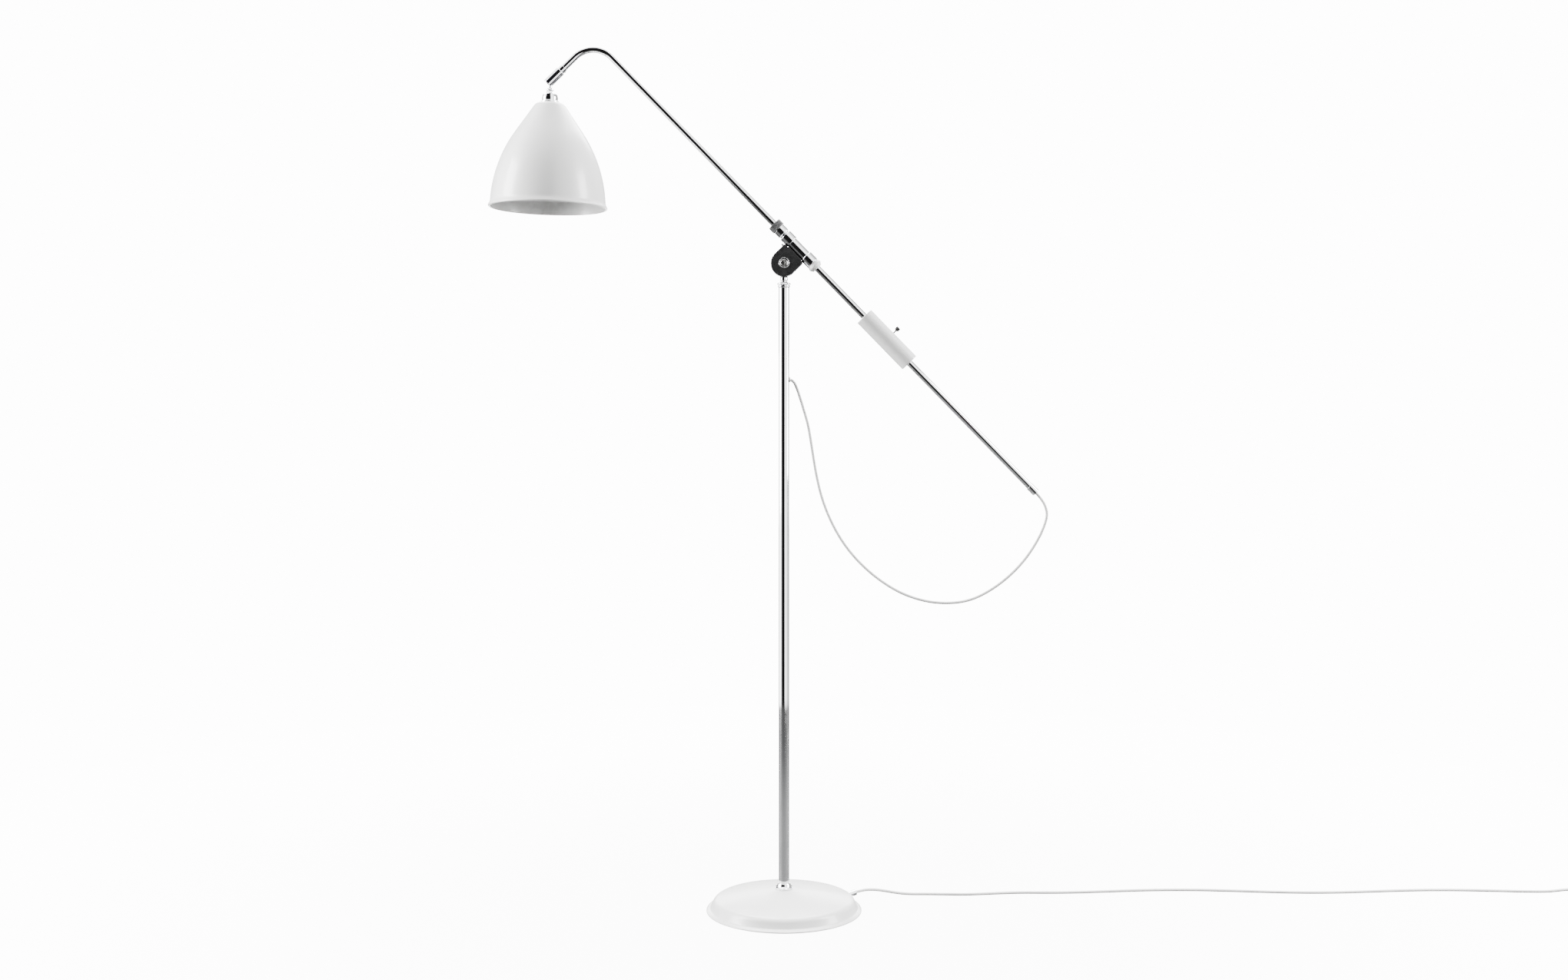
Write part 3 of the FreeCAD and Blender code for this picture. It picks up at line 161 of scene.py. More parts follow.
def joinUp(tree, *pairs):
    for source, target in pairs:
        tree.links.new(source, target)


def shaderGroup(name, inputs, output):
    # a node group with float inputs after its Vector, and one output
    group = bpy.data.node_groups.new(name, "ShaderNodeTree")
    group.interface.new_socket("Vector", in_out="INPUT", socket_type="NodeSocketVector")
    for label, value in inputs.items():
        made = group.interface.new_socket(label, in_out="INPUT", socket_type="NodeSocketFloat")
        made.default_value = value
    group.interface.new_socket(output, in_out="OUTPUT", socket_type="NodeSocketFloat")
    inside, outside = group.nodes.new("NodeGroupInput"), group.nodes.new("NodeGroupOutput")
    return group, inside.outputs, outside.inputs


def makeMottle():
    # soft cloudy variation: noise at a scale, spread between low and high
    settings = {"Scale": 20.0, "Detail": 3.0, "Low": 0.0, "High": 1.0}
    group, given, result = shaderGroup("softMottle", settings, "Value")
    noise = addNode(group, "TexNoise")
    spread = addNode(group, "MapRange", From_Min=0.32, From_Max=0.68)
    joinUp(
        group,
        (given["Vector"], noise.inputs["Vector"]),
        (given["Scale"], noise.inputs["Scale"]),
        (given["Detail"], noise.inputs["Detail"]),
        (noise.outputs["Fac"], spread.inputs["Value"]),
        (given["Low"], spread.inputs["To Min"]),
        (given["High"], spread.inputs["To Max"]),
        (spread.outputs["Result"], result["Value"]),
    )
    return group


def makePits():
    # the small cells of cast, moulded or sprayed skin, as a height
    group, given, result = shaderGroup("finePits", {"Scale": 900.0}, "Height")
    cells = addNode(group, "TexVoronoi")
    cells.feature = "SMOOTH_F1"
    joinUp(
        group,
        (given["Vector"], cells.inputs["Vector"]),
        (given["Scale"], cells.inputs["Scale"]),
        (cells.outputs["Distance"], result["Height"]),
    )
    return group


def makeHairlines():
    # faint polishing lines: noise squeezed hard along one direction
    group, given, result = shaderGroup("hairlines", {"Scale": 600.0, "Low": 0.0, "High": 1.0}, "Value")
    squeeze = addNode(group, "Mapping", Scale=(1.0, 1.0, 0.02))
    noise = addNode(group, "TexNoise", Detail=4.0)
    spread = addNode(group, "MapRange", From_Min=0.45, From_Max=0.72)
    joinUp(
        group,
        (given["Vector"], squeeze.inputs["Vector"]),
        (squeeze.outputs["Vector"], noise.inputs["Vector"]),
        (given["Scale"], noise.inputs["Scale"]),
        (noise.outputs["Fac"], spread.inputs["Value"]),
        (given["Low"], spread.inputs["To Min"]),
        (given["High"], spread.inputs["To Max"]),
        (spread.outputs["Result"], result["Value"]),
    )
    return group


softMottle = makeMottle()
finePits = makePits()
hairlines = makeHairlines()


class Finish:
    # a material with its Principled shader and Object coordinates at hand
    def __init__(self, name, **sockets):
        self.material = bpy.data.materials.new(name)
        self.material.use_nodes = True
        self.tree = self.material.node_tree
        self.shader = self.tree.nodes["Principled BSDF"].inputs
        self.position = addNode(self.tree, "TexCoord").outputs["Object"]
        for label, value in sockets.items():
            self.shader[label.replace("_", " ")].default_value = value

    def effect(self, group, **values):
        node = self.tree.nodes.new("ShaderNodeGroup")
        node.node_tree = group
        joinUp(self.tree, (self.position, node.inputs["Vector"]))
        for label, value in values.items():
            node.inputs[label].default_value = value
        return node.outputs[0]

    def colour(self, first, second, **values):
        mix = addMix(self.tree, A=first, B=second)
        mask = self.effect(softMottle, **values)
        joinUp(self.tree, (mask, mix.inputs["Factor"]))
        joinUp(self.tree, (mix.outputs["Result"], self.shader["Base Color"]))

    def roughness(self, group=None, **values):
        joinUp(self.tree, (self.effect(group or softMottle, **values), self.shader["Roughness"]))

    def relief(self, group, distance, strength, **values):
        bump = addNode(self.tree, "Bump", Distance=distance, Strength=strength)
        height = self.effect(group, **values)
        joinUp(self.tree, (height, bump.inputs["Height"]))
        joinUp(self.tree, (bump.outputs["Normal"], self.shader["Normal"]))


def makeLacquer():
    finish = Finish("whiteLacquer", Coat_Weight=0.35, Coat_Roughness=0.16, IOR=1.5)
    finish.colour((0.80, 0.80, 0.79), (0.835, 0.835, 0.83), Scale=9.0, Detail=4.0)
    finish.roughness(Scale=38.0, Detail=5.0, Low=0.30, High=0.40)
    finish.relief(softMottle, 0.00004, 0.5, Scale=420.0, Detail=2.0)
    return finish.material


def makeChrome():
    finish = Finish("polishedChrome", Metallic=1.0)
    finish.colour((0.83, 0.84, 0.85), (0.88, 0.885, 0.89), Scale=14.0)
    finish.roughness(Scale=55.0, Detail=6.0, Low=0.03, High=0.085)
    finish.relief(hairlines, 0.000004, 0.25, Scale=900.0)
    return finish.material


def makeCasting():
    finish = Finish("blackCasting", IOR=1.36)
    finish.colour((0.005, 0.005, 0.0052), (0.010, 0.010, 0.0105), Scale=60.0, Detail=5.0)
    finish.roughness(Scale=150.0, Detail=4.0, Low=0.40, High=0.55)
    finish.relief(finePits, 0.00012, 0.45, Scale=1400.0)
    return finish.material


def makeBlackPlastic():
    finish = Finish("blackPlastic", IOR=1.38)
    finish.colour((0.005, 0.005, 0.005), (0.010, 0.010, 0.010), Scale=90.0)
    finish.roughness(Scale=200.0, Low=0.28, High=0.42)
    finish.relief(finePits, 0.00005, 0.4, Scale=2200.0)
    return finish.material


def makeGreyNut():
    finish = Finish("greyNut", Metallic=0.35)
    finish.colour((0.065, 0.065, 0.066), (0.115, 0.115, 0.117), Scale=120.0, Detail=5.0)
    finish.roughness(Scale=260.0, Low=0.34, High=0.5)
    finish.relief(finePits, 0.00005, 0.5, Scale=2600.0)
    return finish.material


def makeNylon():
    finish = Finish("whiteNylon", IOR=1.53, Subsurface_Weight=0.08, Subsurface_Scale=0.003)
    finish.colour((0.79, 0.79, 0.775), (0.83, 0.83, 0.82), Scale=60.0)
    finish.roughness(Scale=120.0, Low=0.30, High=0.42)
    finish.relief(finePits, 0.00003, 0.4, Scale=3000.0)
    return finish.material


def makeCordJacket():
    finish = Finish("cordJacket", IOR=1.5, Sheen_Weight=0.1)
    finish.colour((0.74, 0.74, 0.73), (0.80, 0.80, 0.79), Scale=25.0, Detail=4.0)
    finish.roughness(Scale=180.0, Low=0.38, High=0.52)
    finish.relief(softMottle, 0.00006, 0.5, Scale=900.0)
    return finish.material


def makeIron():
    finish = Finish("castIron", Metallic=0.7)
    finish.colour((0.05, 0.05, 0.05), (0.10, 0.095, 0.09), Scale=45.0, Detail=8.0)
    finish.roughness(Scale=70.0, Low=0.55, High=0.8)
    finish.relief(finePits, 0.0003, 0.6, Scale=700.0)
    return finish.material


def makeRubber():
    finish = Finish("rubberPad")
    finish.colour((0.018, 0.018, 0.018), (0.032, 0.032, 0.031), Scale=30.0, Detail=6.0)
    finish.roughness(Scale=60.0, Low=0.7, High=0.9)
    finish.relief(finePits, 0.0002, 0.5, Scale=1200.0)
    return finish.material


def makeZinc():
    finish = Finish("zincSteel", Metallic=1.0)
    finish.colour((0.50, 0.50, 0.49), (0.62, 0.62, 0.60), Scale=80.0, Detail=6.0)
    finish.roughness(hairlines, Scale=1200.0, Low=0.22, High=0.40)
    finish.relief(hairlines, 0.00002, 0.4, Scale=1200.0)
    return finish.material


def makeBrass():
    finish = Finish("brassContact", Metallic=1.0)
    finish.colour((0.62, 0.47, 0.24), (0.74, 0.58, 0.32), Scale=70.0, Detail=5.0)
    finish.roughness(Scale=140.0, Low=0.18, High=0.34)
    finish.relief(hairlines, 0.00001, 0.4, Scale=1500.0)
    return finish.material


def makeOpalGlass():
    finish = Finish(
        "opalGlass", IOR=1.52, Transmission_Weight=0.25, Coat_Weight=0.4, Coat_Roughness=0.03
    )
    finish.colour((0.86, 0.86, 0.84), (0.92, 0.92, 0.90), Scale=35.0)
    finish.roughness(Scale=90.0, Low=0.12, High=0.22)
    finish.relief(softMottle, 0.00003, 0.3, Scale=200.0)
    return finish.material


finishes = {
    "lacquer": makeLacquer(),
    "chrome": makeChrome(),
    "casting": makeCasting(),
    "blackPlastic": makeBlackPlastic(),
    "greyNut": makeGreyNut(),
    "nylon": makeNylon(),
    "cord": makeCordJacket(),
    "iron": makeIron(),
    "rubber": makeRubber(),
    "zinc": makeZinc(),
    "brass": makeBrass(),
    "opal": makeOpalGlass(),
}
print("materials made")

# shapes


def bow(start, end, radius, steps=16):
    # points on an arc from start to end that bulges to the left of the way, or to the right below 0
    start, end = np.array(start, float), np.array(end, float)
    way = end - start
    half = np.linalg.norm(way) / 2
    left = np.array((-way[1], way[0])) / (2 * half)
    side = 1.0 if radius > 0 else -1.0
    rise = math.sqrt(max(radius**2 - half**2, 0.0))
    centre = (start + end) / 2 - left * side * rise
    spread = math.asin(min(half / abs(radius), 1.0))
    angles = np.linspace(-spread, spread, steps)[:, None]
    toward = way / (2 * half)
    return centre + abs(radius) * (np.sin(angles) * toward + np.cos(angles) * left * side)


def softCorner(before, corner, after, reach):
    # a corner rounded by a parabola, with a point beside each end that keeps the flats flat
    arrive, leave = before - corner, after - corner
    lengths = np.linalg.norm(arrive), np.linalg.norm(leave)
    reach = min(reach, 0.42 * lengths[0], 0.42 * lengths[1])
    beside = [min(reach * 1.5, 0.48 * length) for length in lengths]
    start = corner + arrive / lengths[0] * reach
    end = corner + leave / lengths[1] * reach
    share = np.linspace(0, 1, 6)[:, None]
    curve = (1 - share) ** 2 * start + 2 * share * (1 - share) * corner + share**2 * end
    first = corner + arrive / lengths[0] * beside[0]
    last = corner + leave / lengths[1] * beside[1]
    return np.vstack([first, curve, last])


def softOutline(items, closed=True):
    # corners (across, up) or (across, up, rounding), and ready stretches of points, as one line
    stretches = [np.atleast_2d(np.array(item, float)) for item in items]
    line = []
    for index, stretch in enumerate(stretches):
        inner = 0 < index < len(stretches) - 1
        rounded = len(stretch) == 1 and stretch.shape[1] == 3 and (closed or inner)
        if not rounded:
            line.append(stretch[:, :2])
            continue
        before = stretches[index - 1][-1, :2]
        after = stretches[(index + 1) % len(stretches)][0, :2]
        line.append(softCorner(before, stretch[0, :2], after, stretch[0, 2]))
    return np.vstack(line)


def moved(points, place):
    # points in millimetres, shape (..., 3), set in their place in metres
    return points * mm @ place[:3, :3].T + place[:3, 3]


def newPiece(name, vertices, faces, smooth=40):
    mesh = bpy.data.meshes.new(name)
    mesh.from_pydata(np.asarray(vertices).tolist(), [], faces)
    work = bmesh.new()
    work.from_mesh(mesh)
    bmesh.ops.remove_doubles(work, verts=work.verts, dist=2e-7)
    bmesh.ops.recalc_face_normals(work, faces=work.faces)
    work.to_mesh(mesh)
    work.free()
    mesh.shade_smooth()
    mesh.set_sharp_from_angle(angle=math.radians(smooth))
    piece = bpy.data.objects.new(name, mesh)
    scene.collection.objects.link(piece)
    return piece


def gridFaces(rows, columns, closedRows):
    # quads between neighbours of a grid that always closes across its columns
    row = np.arange(rows if closedRows else rows - 1)[:, None]
    column = np.arange(columns)[None, :]
    nextRow, nextColumn = (row + 1) % rows, (column + 1) % columns
    corners = (
        row * columns + column,
        row * columns + nextColumn,
        nextRow * columns + nextColumn,
        nextRow * columns + column,
    )
    return np.stack(np.broadcast_arrays(*corners), -1).reshape(-1, 4).tolist()


def turned(name, items, place, closed=True, around=96, ripple=None, smooth=40):
    # an outline of (radius, height) carried round local Z: (r cos a, r sin a, h) for every angle a,
    # where ripple(angle, height, radius) adds to the radius
    outline = softOutline(items, closed)
    radius, height = outline[:, :1], outline[:, 1:]
    angle = np.linspace(0, 2 * math.pi, around, endpoint=False)[None, :]
    wide = np.broadcast_to(radius, (len(outline), around)).copy()
    if ripple is not None:
        wide += ripple(angle, height, radius)
    grid = np.stack([wide * np.cos(angle), wide * np.sin(angle), height + 0 * wide], -1)
    faces = gridFaces(len(outline), around, closed)
    return newPiece(name, moved(grid, place).reshape(-1, 3), faces, smooth)


def insetRing(outline, inset):
    # a closed outline moved inwards by a distance, each corner along its two edges' mean normal
    ahead = np.roll(outline, -1, 0) - outline
    ahead /= np.linalg.norm(ahead, axis=1)[:, None]
    behind = np.roll(ahead, 1, 0)
    normal = np.stack([-(ahead + behind)[:, 1], (ahead + behind)[:, 0]], -1)
    normal /= np.linalg.norm(normal, axis=1)[:, None]
    cosine = np.clip((normal * np.stack([-ahead[:, 1], ahead[:, 0]], -1)).sum(1), 0.5, 1)
    return outline + normal * (inset / cosine)[:, None]


def plate(name, outline, thickness, edge, place, smooth=40):
    # a flat outline (anticlockwise) raised along local Z, half to each side, with rounded edges
    swing = np.linspace(0, math.pi / 2, 5)
    insets = np.concatenate([[edge * 1.6], edge * (1 - np.sin(swing)), [0.0]])
    heights = np.concatenate([[0.0], edge * (1 - np.cos(swing)), [edge * 1.8]])
    insets = np.concatenate([insets, insets[::-1]])
    heights = np.concatenate([heights, thickness - heights[::-1]]) - thickness / 2
    rings = [insetRing(outline, inset) for inset in insets]
    grid = np.stack([np.c_[ring, np.full(len(ring), up)] for ring, up in zip(rings, heights)])
    rows, columns = grid.shape[:2]
    faces = gridFaces(rows, columns, False)
    faces.append(list(range(columns))[::-1])
    faces.append(list(range((rows - 1) * columns, rows * columns)))
    return newPiece(name, moved(grid, place).reshape(-1, 3), faces, smooth)


def sweptTube(name, path, radius, around=32, flat=front):
    # a round section carried along points that lie in one plane, whose normal is flat
    tangent = np.gradient(path, axis=0)
    tangent /= np.linalg.norm(tangent, axis=1)[:, None]
    across = np.cross(tangent, flat)
    angle = np.linspace(0, 2 * math.pi, around, endpoint=False)[None, :, None]
    ring = np.cos(angle) * flat + np.sin(angle) * across[:, None, :]
    grid = path[:, None, :] + ring * radius * mm
    faces = gridFaces(len(path), around, False)
    faces.append(list(range(around))[::-1])
    faces.append(list(range((len(path) - 1) * around, len(path) * around)))
    return newPiece(name, grid.reshape(-1, 3), faces)


def carve(piece, cutter):
    # takes the cutter's shape out of a piece, and removes the cutter
    modifier = piece.modifiers.new("carve", "BOOLEAN")
    modifier.operation = "DIFFERENCE"
    modifier.solver = "EXACT"
    modifier.object = cutter
    bpy.context.view_layer.update()
    carved = bpy.data.meshes.new_from_object(piece.evaluated_get(bpy.context.evaluated_depsgraph_get()))
    piece.modifiers.clear()
    piece.data = carved
    carved.set_sharp_from_angle(angle=math.radians(35))
    bpy.data.objects.remove(cutter)
    return piece


def block(name, size, place):
    # a plain cutting block about local zero, sizes in millimetres
    signs = np.array([(x, y, z) for z in (-1, 1) for y in (-1, 1) for x in (-1, 1)], float)
    faces = [[0, 2, 3, 1], [4, 5, 7, 6], [0, 1, 5, 4], [2, 6, 7, 3], [0, 4, 6, 2], [1, 3, 7, 5]]
    return newPiece(name, moved(signs * np.array(size) / 2, place), faces)


def settle(piece, finish, body, *nodes, slot=None):
    # gives a piece its finish and body, and hides the CAD nodes it stands for
    piece.data.materials.clear()
    piece.data.materials.append(finishes[finish])
    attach(piece, body)
    if nodes:
        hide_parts(*nodes)
    return piece


def shifted(place, x=0.0, y=0.0, z=0.0):
    # a place moved along its own axes, in millimetres
    made = place.copy()
    made[:3, 3] += place[:3, :3] @ np.array((x, y, z)) * mm
    return made


# cords: the hanging loop and the mains lead

cordRadius = 2.5
loopCord = dict(
    grommetFace=(11.5, 944.0),
    route=[
        (16.6, 941.6),
        (21.8, 932),
        (28, 914),
        (35.5, 889),
        (43.5, 862),
        (50, 820),
        (57, 776),
        (67, 733),
        (83, 692),
        (105, 653),
        (133, 619),
        (167, 589),
        (207, 564),
        (250, 549.5),
        (292, 545.5),
        (332, 551),
        (368, 569),
        (400, 593),
        (427, 621),
        (447, 650),
        (461, 677),
        (469, 702),
        (465.5, 719),
        (457.5, 732.5),
    ],
    tailFace=605.5,
    splits=(6, 15, 18),
    names=("loopCordPost", "loopCordDrop", "loopCordRise", "loopCordTail"),
    nodes=("loop_cord_post", "loop_cord_drop", "loop_cord_rise", "loop_cord_tail"),
    bodies=("stand", "swivel_head", "clevis_sleeve", "arm_bush", "arm"),
)


def smoothLine(name, points, fineness):
    # a NURBS curve of order 3 through its two end points, with the given points as controls
    curve = bpy.data.curves.new(name, "CURVE")
    curve.dimensions = "3D"
    curve.resolution_u = fineness
    spline = curve.splines.new("NURBS")
    spline.points.add(len(points) - 1)
    spline.points.foreach_set("co", np.c_[points, np.ones(len(points))].ravel())
    spline.order_u = 3
    spline.use_endpoint_u = True
    made = bpy.data.objects.new(name, curve)
    scene.collection.objects.link(made)
    return made


def pointsAlong(curveObject):
    bpy.context.view_layer.update()
    mesh = bpy.data.meshes.new_from_object(curveObject)
    points = np.zeros(len(mesh.vertices) * 3)
    mesh.vertices.foreach_get("co", points)
    bpy.data.meshes.remove(mesh)
    return points.reshape(-1, 3)


def makeLoopCord():
    start = np.array((*loopCord["grommetFace"], 0))[[0, 2, 1]] * mm
    route = np.array([(across, 0, up) for across, up in loopCord["route"]]) * mm
    tail = armFoot + tailward * loopCord["tailFace"] * mm
    controls = np.vstack([start, route, tail])
    guide = smoothLine("loopGuide", controls, 12)
    line = pointsAlong(guide)
    bpy.data.objects.remove(guide)
    if np.linalg.norm(line[0] - start) > np.linalg.norm(line[-1] - start):
        line = line[::-1]
    joins = [(controls[split] + controls[split + 1]) / 2 for split in loopCord["splits"]]
    splits = [int(np.linalg.norm(line - join, axis=1).argmin()) for join in joins]
    places = [0, *splits, len(line) - 1]
    for index, name in enumerate(loopCord["names"]):
        part = line[places[index] : places[index + 1] + 1]
        piece = sweptTube(name, part, cordRadius, 20)
        piece.data.materials.append(finishes["cord"])
        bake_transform(piece)
        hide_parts(loopCord["nodes"][index])


makeLoopCord()
print("hanging loop made")

gland = dict(
    radius=5.2, length=13.0, depth=15.0, bore=2.6, azimuth=20.0, rise=12.0, reach=126.0, height=16.0
)
glandTurn, glandRise = math.radians(gland["azimuth"]), math.radians(gland["rise"])
outward = np.array((math.cos(glandTurn), math.sin(glandTurn), 0))
glandWay = outward * math.cos(glandRise) + skyward * math.sin(glandRise)
glandFoot = (outward * gland["reach"] + skyward * gland["height"]) * mm

mainsLead = dict(
    length=2.5,
    route=[
        (144, 52.6, 21.2),
        (163, 61, 19.5),
        (184, 71, 14.2),
        (206, 80.5, 7.6),
        (230, 88, 3.4),
        (260, 91.5, 2.5),
        (296, 90, 2.5),
        (338, 88.5, 2.5),
        (384, 95, 2.5),
        (432, 101, 2.5),
        (484, 99.5, 2.5),
        (538, 101.5, 2.5),
        (594, 107.5, 2.5),
        (652, 114.5, 2.5),
        (712, 118, 2.5),
        (772, 117, 2.5),
        (832, 111.5, 2.5),
        (892, 104.5, 2.5),
        (952, 100, 2.5),
        (1012, 100.5, 2.5),
        (1072, 106, 2.5),
        (1132, 113, 2.5),
        (1192, 117, 2.5),
        (1252, 116.5, 2.5),
        (1312, 112, 2.5),
        (1366, 107.5, 2.5),
        (1408, 105.8, 2.6),
        (1438, 105.4, 6.2),
    ],
    afterSwitch=[(1545, 105.7, 5.4), (1567, 105.5, 3.0)],
    coilTurns=5.5,
    perTurn=16,
    coilRadii=(35.2, 22.8),
    coilLevels=(2.5, 7.9),
    plugNeck=18.0,
)


def coilPoints(middle):
    # lower turns wind inwards, the line climbs at the innermost turn, and upper turns wind back out
    outer, inner = mainsLead["coilRadii"]
    low, high = mainsLead["coilLevels"]
    turns = np.arange(0, mainsLead["coilTurns"] + 1e-6, 1 / mainsLead["perTurn"])
    stages = [0, 2, 2.9, 4.9, mainsLead["coilTurns"]]
    radius = np.interp(turns, stages, [outer, inner, inner, outer, outer])
    climb = np.sin(np.clip((turns - 2.05) / 0.85, 0, 1) * math.pi / 2)
    swell = 1 / (1 - (math.pi / mainsLead["perTurn"]) ** 2 / 3)
    angle = (turns - 0.25) * 2 * math.pi
    flat = radius[:, None] * np.stack([np.cos(angle), np.sin(angle)], -1) * swell
    return np.c_[flat * mm + middle[:2], (low + (high - low) * climb) * mm]


def makeMainsLead():
    start = glandFoot + glandWay * gland["length"] * mm
    route = np.array(mainsLead["route"]) * mm
    low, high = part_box("switch_base")
    through = [(low[0], (low[1] + high[1]) / 2, high[2]), (high[0], (low[1] + high[1]) / 2, high[2])]
    after = np.array(mainsLead["afterSwitch"]) * mm
    plugLow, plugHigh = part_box("plug_body")
    plugAxis = (np.array(plugLow) + np.array(plugHigh)) / 2
    coil = coilPoints(boxMiddle("lead_coil"))
    neck = np.array((plugHigh[0] + mainsLead["plugNeck"] * mm, plugAxis[1], plugAxis[2]))
    beforePlug = coil[-1] + np.array((-11, 0.2, -0.3)) * mm
    inPlug = np.array((plugHigh[0] + 4 * mm, plugAxis[1], plugAxis[2]))
    points = np.vstack([start, route, through, after, coil, beforePlug, neck, inPlug])
    lead = smoothLine("mainsLead", points, 10)
    lead.data.bevel_depth = cordRadius * mm
    lead.data.bevel_resolution = 5
    lead.data.use_fill_caps = True
    settle(lead, "cord", "stand", "mains_lead", "switch_lead", "lead_coil", "plug_lead")
    return lead, start


mainsLeadPiece, leadExit = makeMainsLead()
print("mains lead made")

# base and post

baseCover = dict(radius=138.3, height=38.8, hole=5.05, flat=20.0, mound=(36.5, 36.4), dome=560.0)


def makeBaseCover():
    # two thin skins joined at the rim: flat boss, low dome, tight shoulder, skirt and rolled lip
    rim = baseCover["radius"]
    hole, top = baseCover["hole"], baseCover["height"]
    shoulder, skirt = (rim - 20.3, 22.5), (rim - 11.7, 15.2)
    outline = [
        (hole, top, 0.2),
        (baseCover["flat"], top, 4.0),
        bow(baseCover["mound"], shoulder, baseCover["dome"], 40),
        bow(shoulder, skirt, 12.6)[1:],
        bow((rim - 8.1, 7.0), (rim - 5.1, 5.2), -2.9, 8),
        bow((rim - 0.8, 2.9), (rim - 0.8, 0.8), 1.4, 10),
        (rim - 1.6, 0.8, 0.3),
        (rim - 6.5, 2.4, 1.0),
        (rim - 9.7, 7.0, 1.0),
        bow((rim - 13.3, 15.2), (rim - 20.3, 20.9), -11.0, 10),
        bow((rim - 20.3, 20.9), (36.5, 34.8), -baseCover["dome"], 16)[1:],
        (baseCover["flat"], 37.2, 2.0),
        (hole, 37.2, 0.2),
    ]
    return turned("baseCover", outline, onPost(0), around=192, smooth=50)


settle(makeBaseCover(), "lacquer", "stand", "base_cover")

post = dict(radius=9.5, inner=8.0, foot=38.8, top=1107.5)
postTube = turned(
    "postTube",
    [
        (post["inner"], post["foot"]),
        (post["radius"], post["foot"], 0.3),
        (post["radius"], post["top"], 0.3),
        (post["inner"], post["top"]),
    ],
    onPost(0),
)
settle(postTube, "chrome", "stand", "post_tube")

postCollar = dict(bore=9.55, radius=15.5, height=10.2)
collarOutline = [
    (postCollar["bore"], 0),
    (postCollar["radius"] - 0.5, 0, 0.2),
    (postCollar["radius"], 1.2, 0.5),
    bow((postCollar["radius"], 3.0), (11.4, 8.6), 9.0, 12),
    (11.0, 9.4, 0.4),
    (10.4, postCollar["height"], 0.3),
    (postCollar["bore"], postCollar["height"]),
]
settle(turned("postCollar", collarOutline, onPost(post["foot"])), "chrome", "stand", "post_collar")

grommet = dict(height=944.0, start=7.5, neck=3.6, radius=5.0, face=4.0, bore=2.55)
grommetOutline = [
    (grommet["bore"], 0, 0.1),
    (grommet["neck"], 0, 0.3),
    (grommet["neck"], 2.1),
    (grommet["radius"], 2.1, 0.2),
    bow((grommet["radius"], 3.0), (4.0, grommet["face"]), 1.0, 8),
    (grommet["bore"] + 0.1, grommet["face"], 0.25),
]
grommetPlace = placeAt(np.array((grommet["start"], 0, grommet["height"])) * mm, (1, 0, 0), skyward)
settle(turned("postGrommet", grommetOutline, grommetPlace, around=48), "nylon", "stand", "post_grommet")

postCap = dict(bore=4.05, spigot=7.95, spigotLength=20.0, ringEdge=9.6, bulge=3.0, height=5.0)
ringFoot = postCap["spigotLength"]
ringTop = ringFoot + postCap["height"]
capOutline = [
    (postCap["bore"], 0),
    (postCap["spigot"], 0, 0.4),
    (postCap["spigot"], ringFoot),
    bow((postCap["ringEdge"], ringFoot), (postCap["ringEdge"], ringTop), -postCap["bulge"], 18),
    (postCap["bore"], ringTop),
]
settle(turned("postCap", capOutline, onPost(post["top"] - ringFoot)), "chrome", "stand", "post_cap")

leadGland = [
    (gland["bore"], 0),
    (4.4, 0, 0.3),
    (4.4, 9.0),
    (gland["radius"], 9.0, 0.2),
    (gland["radius"], 18.6, 0.1),
    (gland["radius"] - 0.35, 18.9),
    (gland["radius"] - 0.35, 19.7),
    (gland["radius"], 20.0, 0.1),
    (gland["radius"], 27.4, 0.5),
    (gland["radius"] - 0.9, 28.0, 0.3),
    (gland["bore"], 28.0, 0.3),
]
glandPlace = placeAt(glandFoot - glandWay * gland["depth"] * mm, glandWay, skyward)
glandPiece = turned("leadGland", leadGland, glandPlace, around=64)
settle(glandPiece, "chrome", "stand", "lead_gland")
print("base and post made")

# swivel head

saucer = dict(foot=1112.8, bore=4.05, radius=12.6, height=6.0)
saucerOutline = [
    (saucer["bore"], 0),
    (11.2, 0, 0.2),
    (saucer["radius"], 0.35, 0.25),
    (saucer["radius"], 1.0, 0.3),
    bow((saucer["radius"] - 0.4, 1.5), (6.2, 5.4), -9.5, 16),
    (5.5, saucer["height"], 0.4),
    (saucer["bore"], saucer["height"]),
]
saucerPiece = turned("swivelSaucer", saucerOutline, onPost(saucer["foot"]))
settle(saucerPiece, "chrome", "swivel_head", "swivel_saucer")

neck = dict(pinFoot=1081.8, pinTop=1118.8, pin=4.0, ball=7.0, height=8.2, tongue=7.0, round=12.0)
neckOutline = [
    (0, neck["pinFoot"]),
    (neck["pin"], neck["pinFoot"], 0.4),
    (neck["pin"], neck["pinTop"]),
    bow((5.7, neck["pinTop"]), (5.7, neck["pinTop"] + neck["height"]), -neck["ball"], 20),
    (0, neck["pinTop"] + neck["height"] + 0.2),
]
neckPiece = turned("neckBall", neckOutline, onPost(0), closed=False, around=72)
settle(neckPiece, "chrome", "swivel_head", "swivel_neck")


def makeTongue():
    # a flat eye on a stem: a circle about the pivot that runs down into the ball
    half = neck["ball"] - 0.1
    drop = pivot[2] / mm - neck["pinTop"] - neck["height"] / 2
    join = -math.asin(half / neck["round"])
    angles = np.linspace(join - math.pi / 2 + 2 * math.pi, -join - math.pi / 2, 48)[::-1]
    eye = neck["round"] * np.stack([np.cos(angles), np.sin(angles)], -1)
    outline = np.vstack([eye, [(-half, -drop)], [(half, -drop)]])
    return plate("neckTongue", outline, neck["tongue"], 0.5, throughPivot(0))


settle(makeTongue(), "chrome", "swivel_head", "swivel_neck")

# clevis, its bolt and the sleeve

clevis = dict(
    round=23.6,
    thickness=18.2,
    flat=24.3,
    seat=26.3,
    seatFrom=-15.5,
    seatTo=17.5,
    rounding=2.5,
    slot=8.3,
    slotTop=14.0,
)
clevisTurn = placeAt(pivot, front, tailward)


